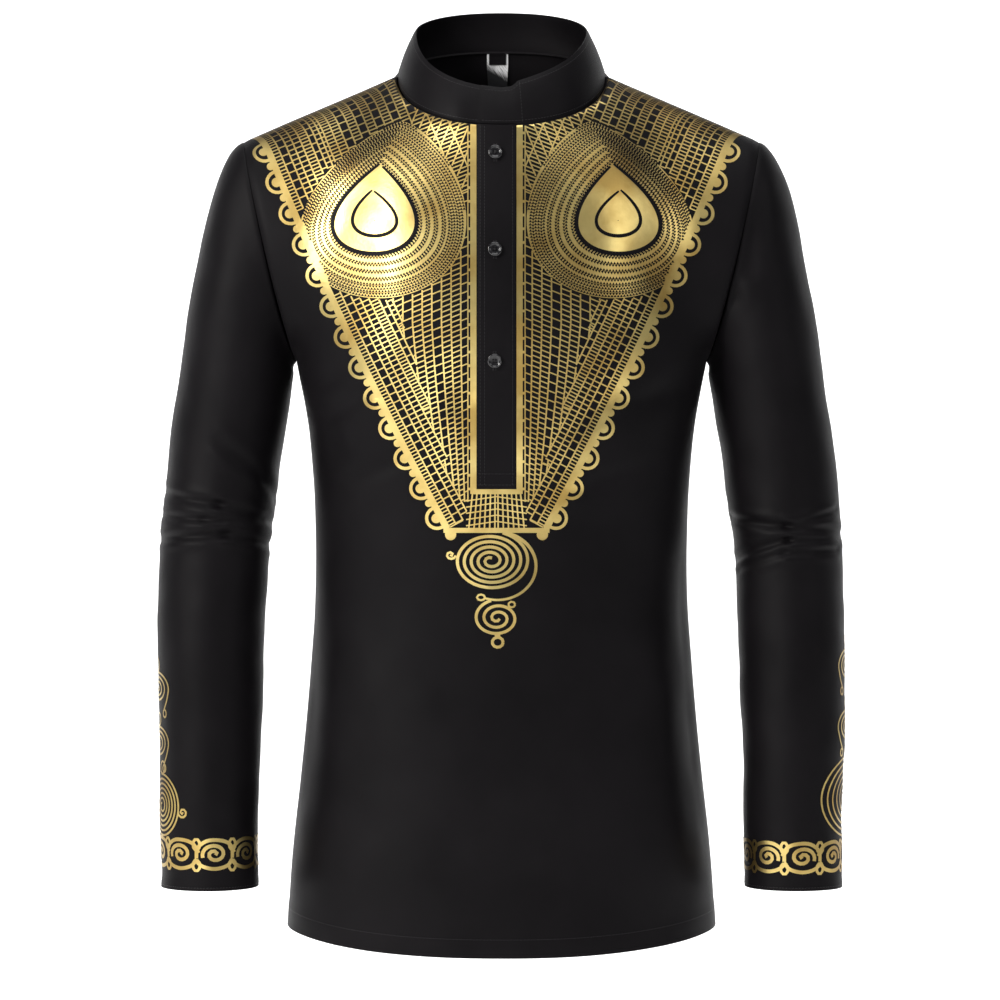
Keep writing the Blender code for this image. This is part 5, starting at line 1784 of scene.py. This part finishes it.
pendant = FlatPrint()
large, small = np.array([-0.0090, -0.4090]), np.array([-0.0034, -0.4572])
pendant.ribbon(spiral(large, 0.0322, 0.0247, 5.0, 72, -1), PENDANT_STROKE, BAND_LIFT)
pendant.ribbon(spiral(large + (-0.0336, 0.0049), 0.0044, 0.0038, 1.5, -10, -1), 0.0020, BAND_LIFT + 0.00008)
tail = arc_path(large + (0.0055, -0.0045), 0.0325, 0.0285, 82, -110)
pendant.ribbon(tail, np.linspace(1.2 * PENDANT_STROKE, 0.0018, len(tail)), BAND_LIFT + 0.00004)
pendant.ribbon(arc_path(small + (-0.0138, 0.0174), 0.0034, 0.0024, 0, 360), 0.0018, BAND_LIFT + 0.00008)
pendant.ribbon(spiral(small, 0.0193, 0.0153, 2.65, 106, 1), 0.95 * PENDANT_STROKE, BAND_LIFT)
pendant.ribbon(arc_path(small + (0.0120, 0.0114), 0.0029, 0.0024, 0, 360), 0.0017, BAND_LIFT + 0.00008)
pendant.ribbon(arc_path(small + (0.0002, -0.0203), 0.0046, 0.0042, 0, 360), 0.0025, BAND_LIFT)
pendant.disc(small + (0.0, -0.0142), 0.0024, BAND_LIFT + 0.00008)
press_print("print_pendant_gold", pendant, front, gold, seen_from_front, shade_painting=chest_shade_painting)


# The print on the sleeves, in the same foil: spirals down the outside of the forearm and a running scroll
# round the cuff.
ARM_RADIUS = 0.0425
SCROLLS = 9
SCROLL_STROKE = 0.0030
ARM_STROKE = 0.0017
LEFT_SCROLL_HEIGHT = -0.6507
LEFT_SCROLL_PHASE = 0.11
RIGHT_SCROLL_HEIGHT = -0.6479
RIGHT_SCROLL_PHASE = 0.50
# Painted shade on the sleeves' foil: none where the cloth faces forward, turned this far towards the middle,
# and at most this much.
SLEEVE_UNSHADED_TURN = 0.085
SLEEVE_MOST_PAINTED_SHADE = 0.55

ArmSpiral = namedtuple("ArmSpiral", "turn height reach rise turns")
RIGHT_ARM_SPIRALS = [
    ArmSpiral(15, -0.5134, 0.0225, 0.0135, 3.2),
    ArmSpiral(15, -0.5584, 0.0210, 0.0135, 3.2),
    ArmSpiral(28, -0.6103, 0.0235, 0.0262, 6.0),
]
LEFT_ARM_SPIRALS = [
    ArmSpiral(9, -0.4945, 0.0215, 0.0138, 3.2),
    ArmSpiral(9, -0.5450, 0.0215, 0.0138, 3.2),
    ArmSpiral(6, -0.6045, 0.0440, 0.0340, 6.0),
]


def round_the_arm(side):
    """Wraps flat artwork round a sleeve: its width is the way round from the outside towards the front."""

    def layout(flat):
        angle = flat[:, 0] / ARM_RADIUS
        axis_x = read_column(SLEEVE, "centre_x", flat[:, 1])
        axis_y = read_column(SLEEVE, "centre_y", flat[:, 1])
        out = points(side * np.cos(angle), -np.sin(angle), 0.0 * angle)
        return points(side * axis_x, axis_y, flat[:, 1]) + out * 0.08, -out

    return layout


def sleeve_artwork(spirals, curled, scroll_height, scroll_phase):
    """Two small spirals, each run out into a loop at its foot, a large one, and the scroll round the cuff."""
    art = FlatPrint()
    for one in spirals:
        centre = np.array([math.radians(one.turn) * ARM_RADIUS, one.height])
        crown = centre + (0.0, one.rise + 0.0052)
        art.ribbon(arc_path(crown, 0.0048, 0.0052, 0, 360), ARM_STROKE, BAND_LIFT + 0.00004)
        if one is spirals[-1]:
            art.ribbon(spiral(centre, one.reach, one.rise, one.turns, 95, -1), ARM_STROKE, BAND_LIFT)
            continue
        foot = centre + (one.reach * 0.60, -one.rise * 1.32)
        coil = spiral(centre, one.reach, one.rise, one.turns, -20)
        lead = soft_path([foot, centre + (one.reach * 0.80, -one.rise * 0.86), coil[0]])
        art.ribbon(np.concatenate([lead[:-1], coil]), ARM_STROKE, BAND_LIFT)
        loop = arc_path(foot + (0.0010, -0.0032), 0.0030, 0.0032, 0, 360)
        art.ribbon(loop, ARM_STROKE, BAND_LIFT + 0.00006)
    if curled:
        last = spirals[-1]
        beside = math.radians(last.turn) * ARM_RADIUS + 0.94 * last.reach + 0.0046
        curl = np.array([beside, last.height - 0.0040])
        art.ribbon(spiral(curl, 0.0046, 0.0046, 1.6, 180), 0.0018, BAND_LIFT + 0.00006)
    way_round = 2 * math.pi * ARM_RADIUS
    pitch = way_round / SCROLLS
    for number in range(SCROLLS):
        middle = np.array([(number + scroll_phase) * pitch, scroll_height])
        art.ribbon(spiral(middle, 0.0102, 0.0083, 1.7, 200, -1), SCROLL_STROKE, BAND_LIFT)
        over = [(-0.50, -0.30), (-0.47, 0.45), (-0.20, 0.98), (0.16, 1.0), (0.42, 0.72), (0.56, 0.10)]
        under = [(-0.56, -0.35), (-0.34, -0.86), (0.0, -1.06), (0.34, -0.86), (0.50, -0.40)]
        scale = np.array([pitch, 0.0112])
        art.ribbon(soft_path(middle + np.array(over) * scale), SCROLL_STROKE, BAND_LIFT + 0.00004)
        art.ribbon(soft_path(middle + np.array(under) * scale), SCROLL_STROKE, BAND_LIFT + 0.00008)
        knot = middle + (pitch / 2, 0.0)
        art.ribbon(arc_path(knot + (0.0, 0.0078), 0.0028, 0.0046, 0, 360), 0.0024, BAND_LIFT + 0.00010)
        art.ribbon(arc_path(knot + (0.0, -0.0092), 0.0030, 0.0044, 0, 360), 0.0024, BAND_LIFT + 0.00010)
    return art


left_art = sleeve_artwork(LEFT_ARM_SPIRALS, False, LEFT_SCROLL_HEIGHT, LEFT_SCROLL_PHASE)
# Painted shade on the left sleeve's foil, growing where the cloth turns from the front.
left_shade_painting = ((-SLEEVE_UNSHADED_TURN, -0.996, 0.0), SLEEVE_MOST_PAINTED_SHADE)
left_print = (left_art, sleeve_left, gold, round_the_arm(1))
press_print("print_sleeve_left_gold", *left_print, flipped=True, shade_painting=left_shade_painting)
right_art = sleeve_artwork(RIGHT_ARM_SPIRALS, True, RIGHT_SCROLL_HEIGHT, RIGHT_SCROLL_PHASE)
# Painted shade on the right sleeve's foil, growing where the cloth turns from the front.
right_shade_painting = ((SLEEVE_UNSHADED_TURN, -0.996, 0.0), SLEEVE_MOST_PAINTED_SHADE)
right_print = (right_art, sleeve_right, gold, round_the_arm(-1))
press_print("print_sleeve_right_gold", *right_print, shade_painting=right_shade_painting)
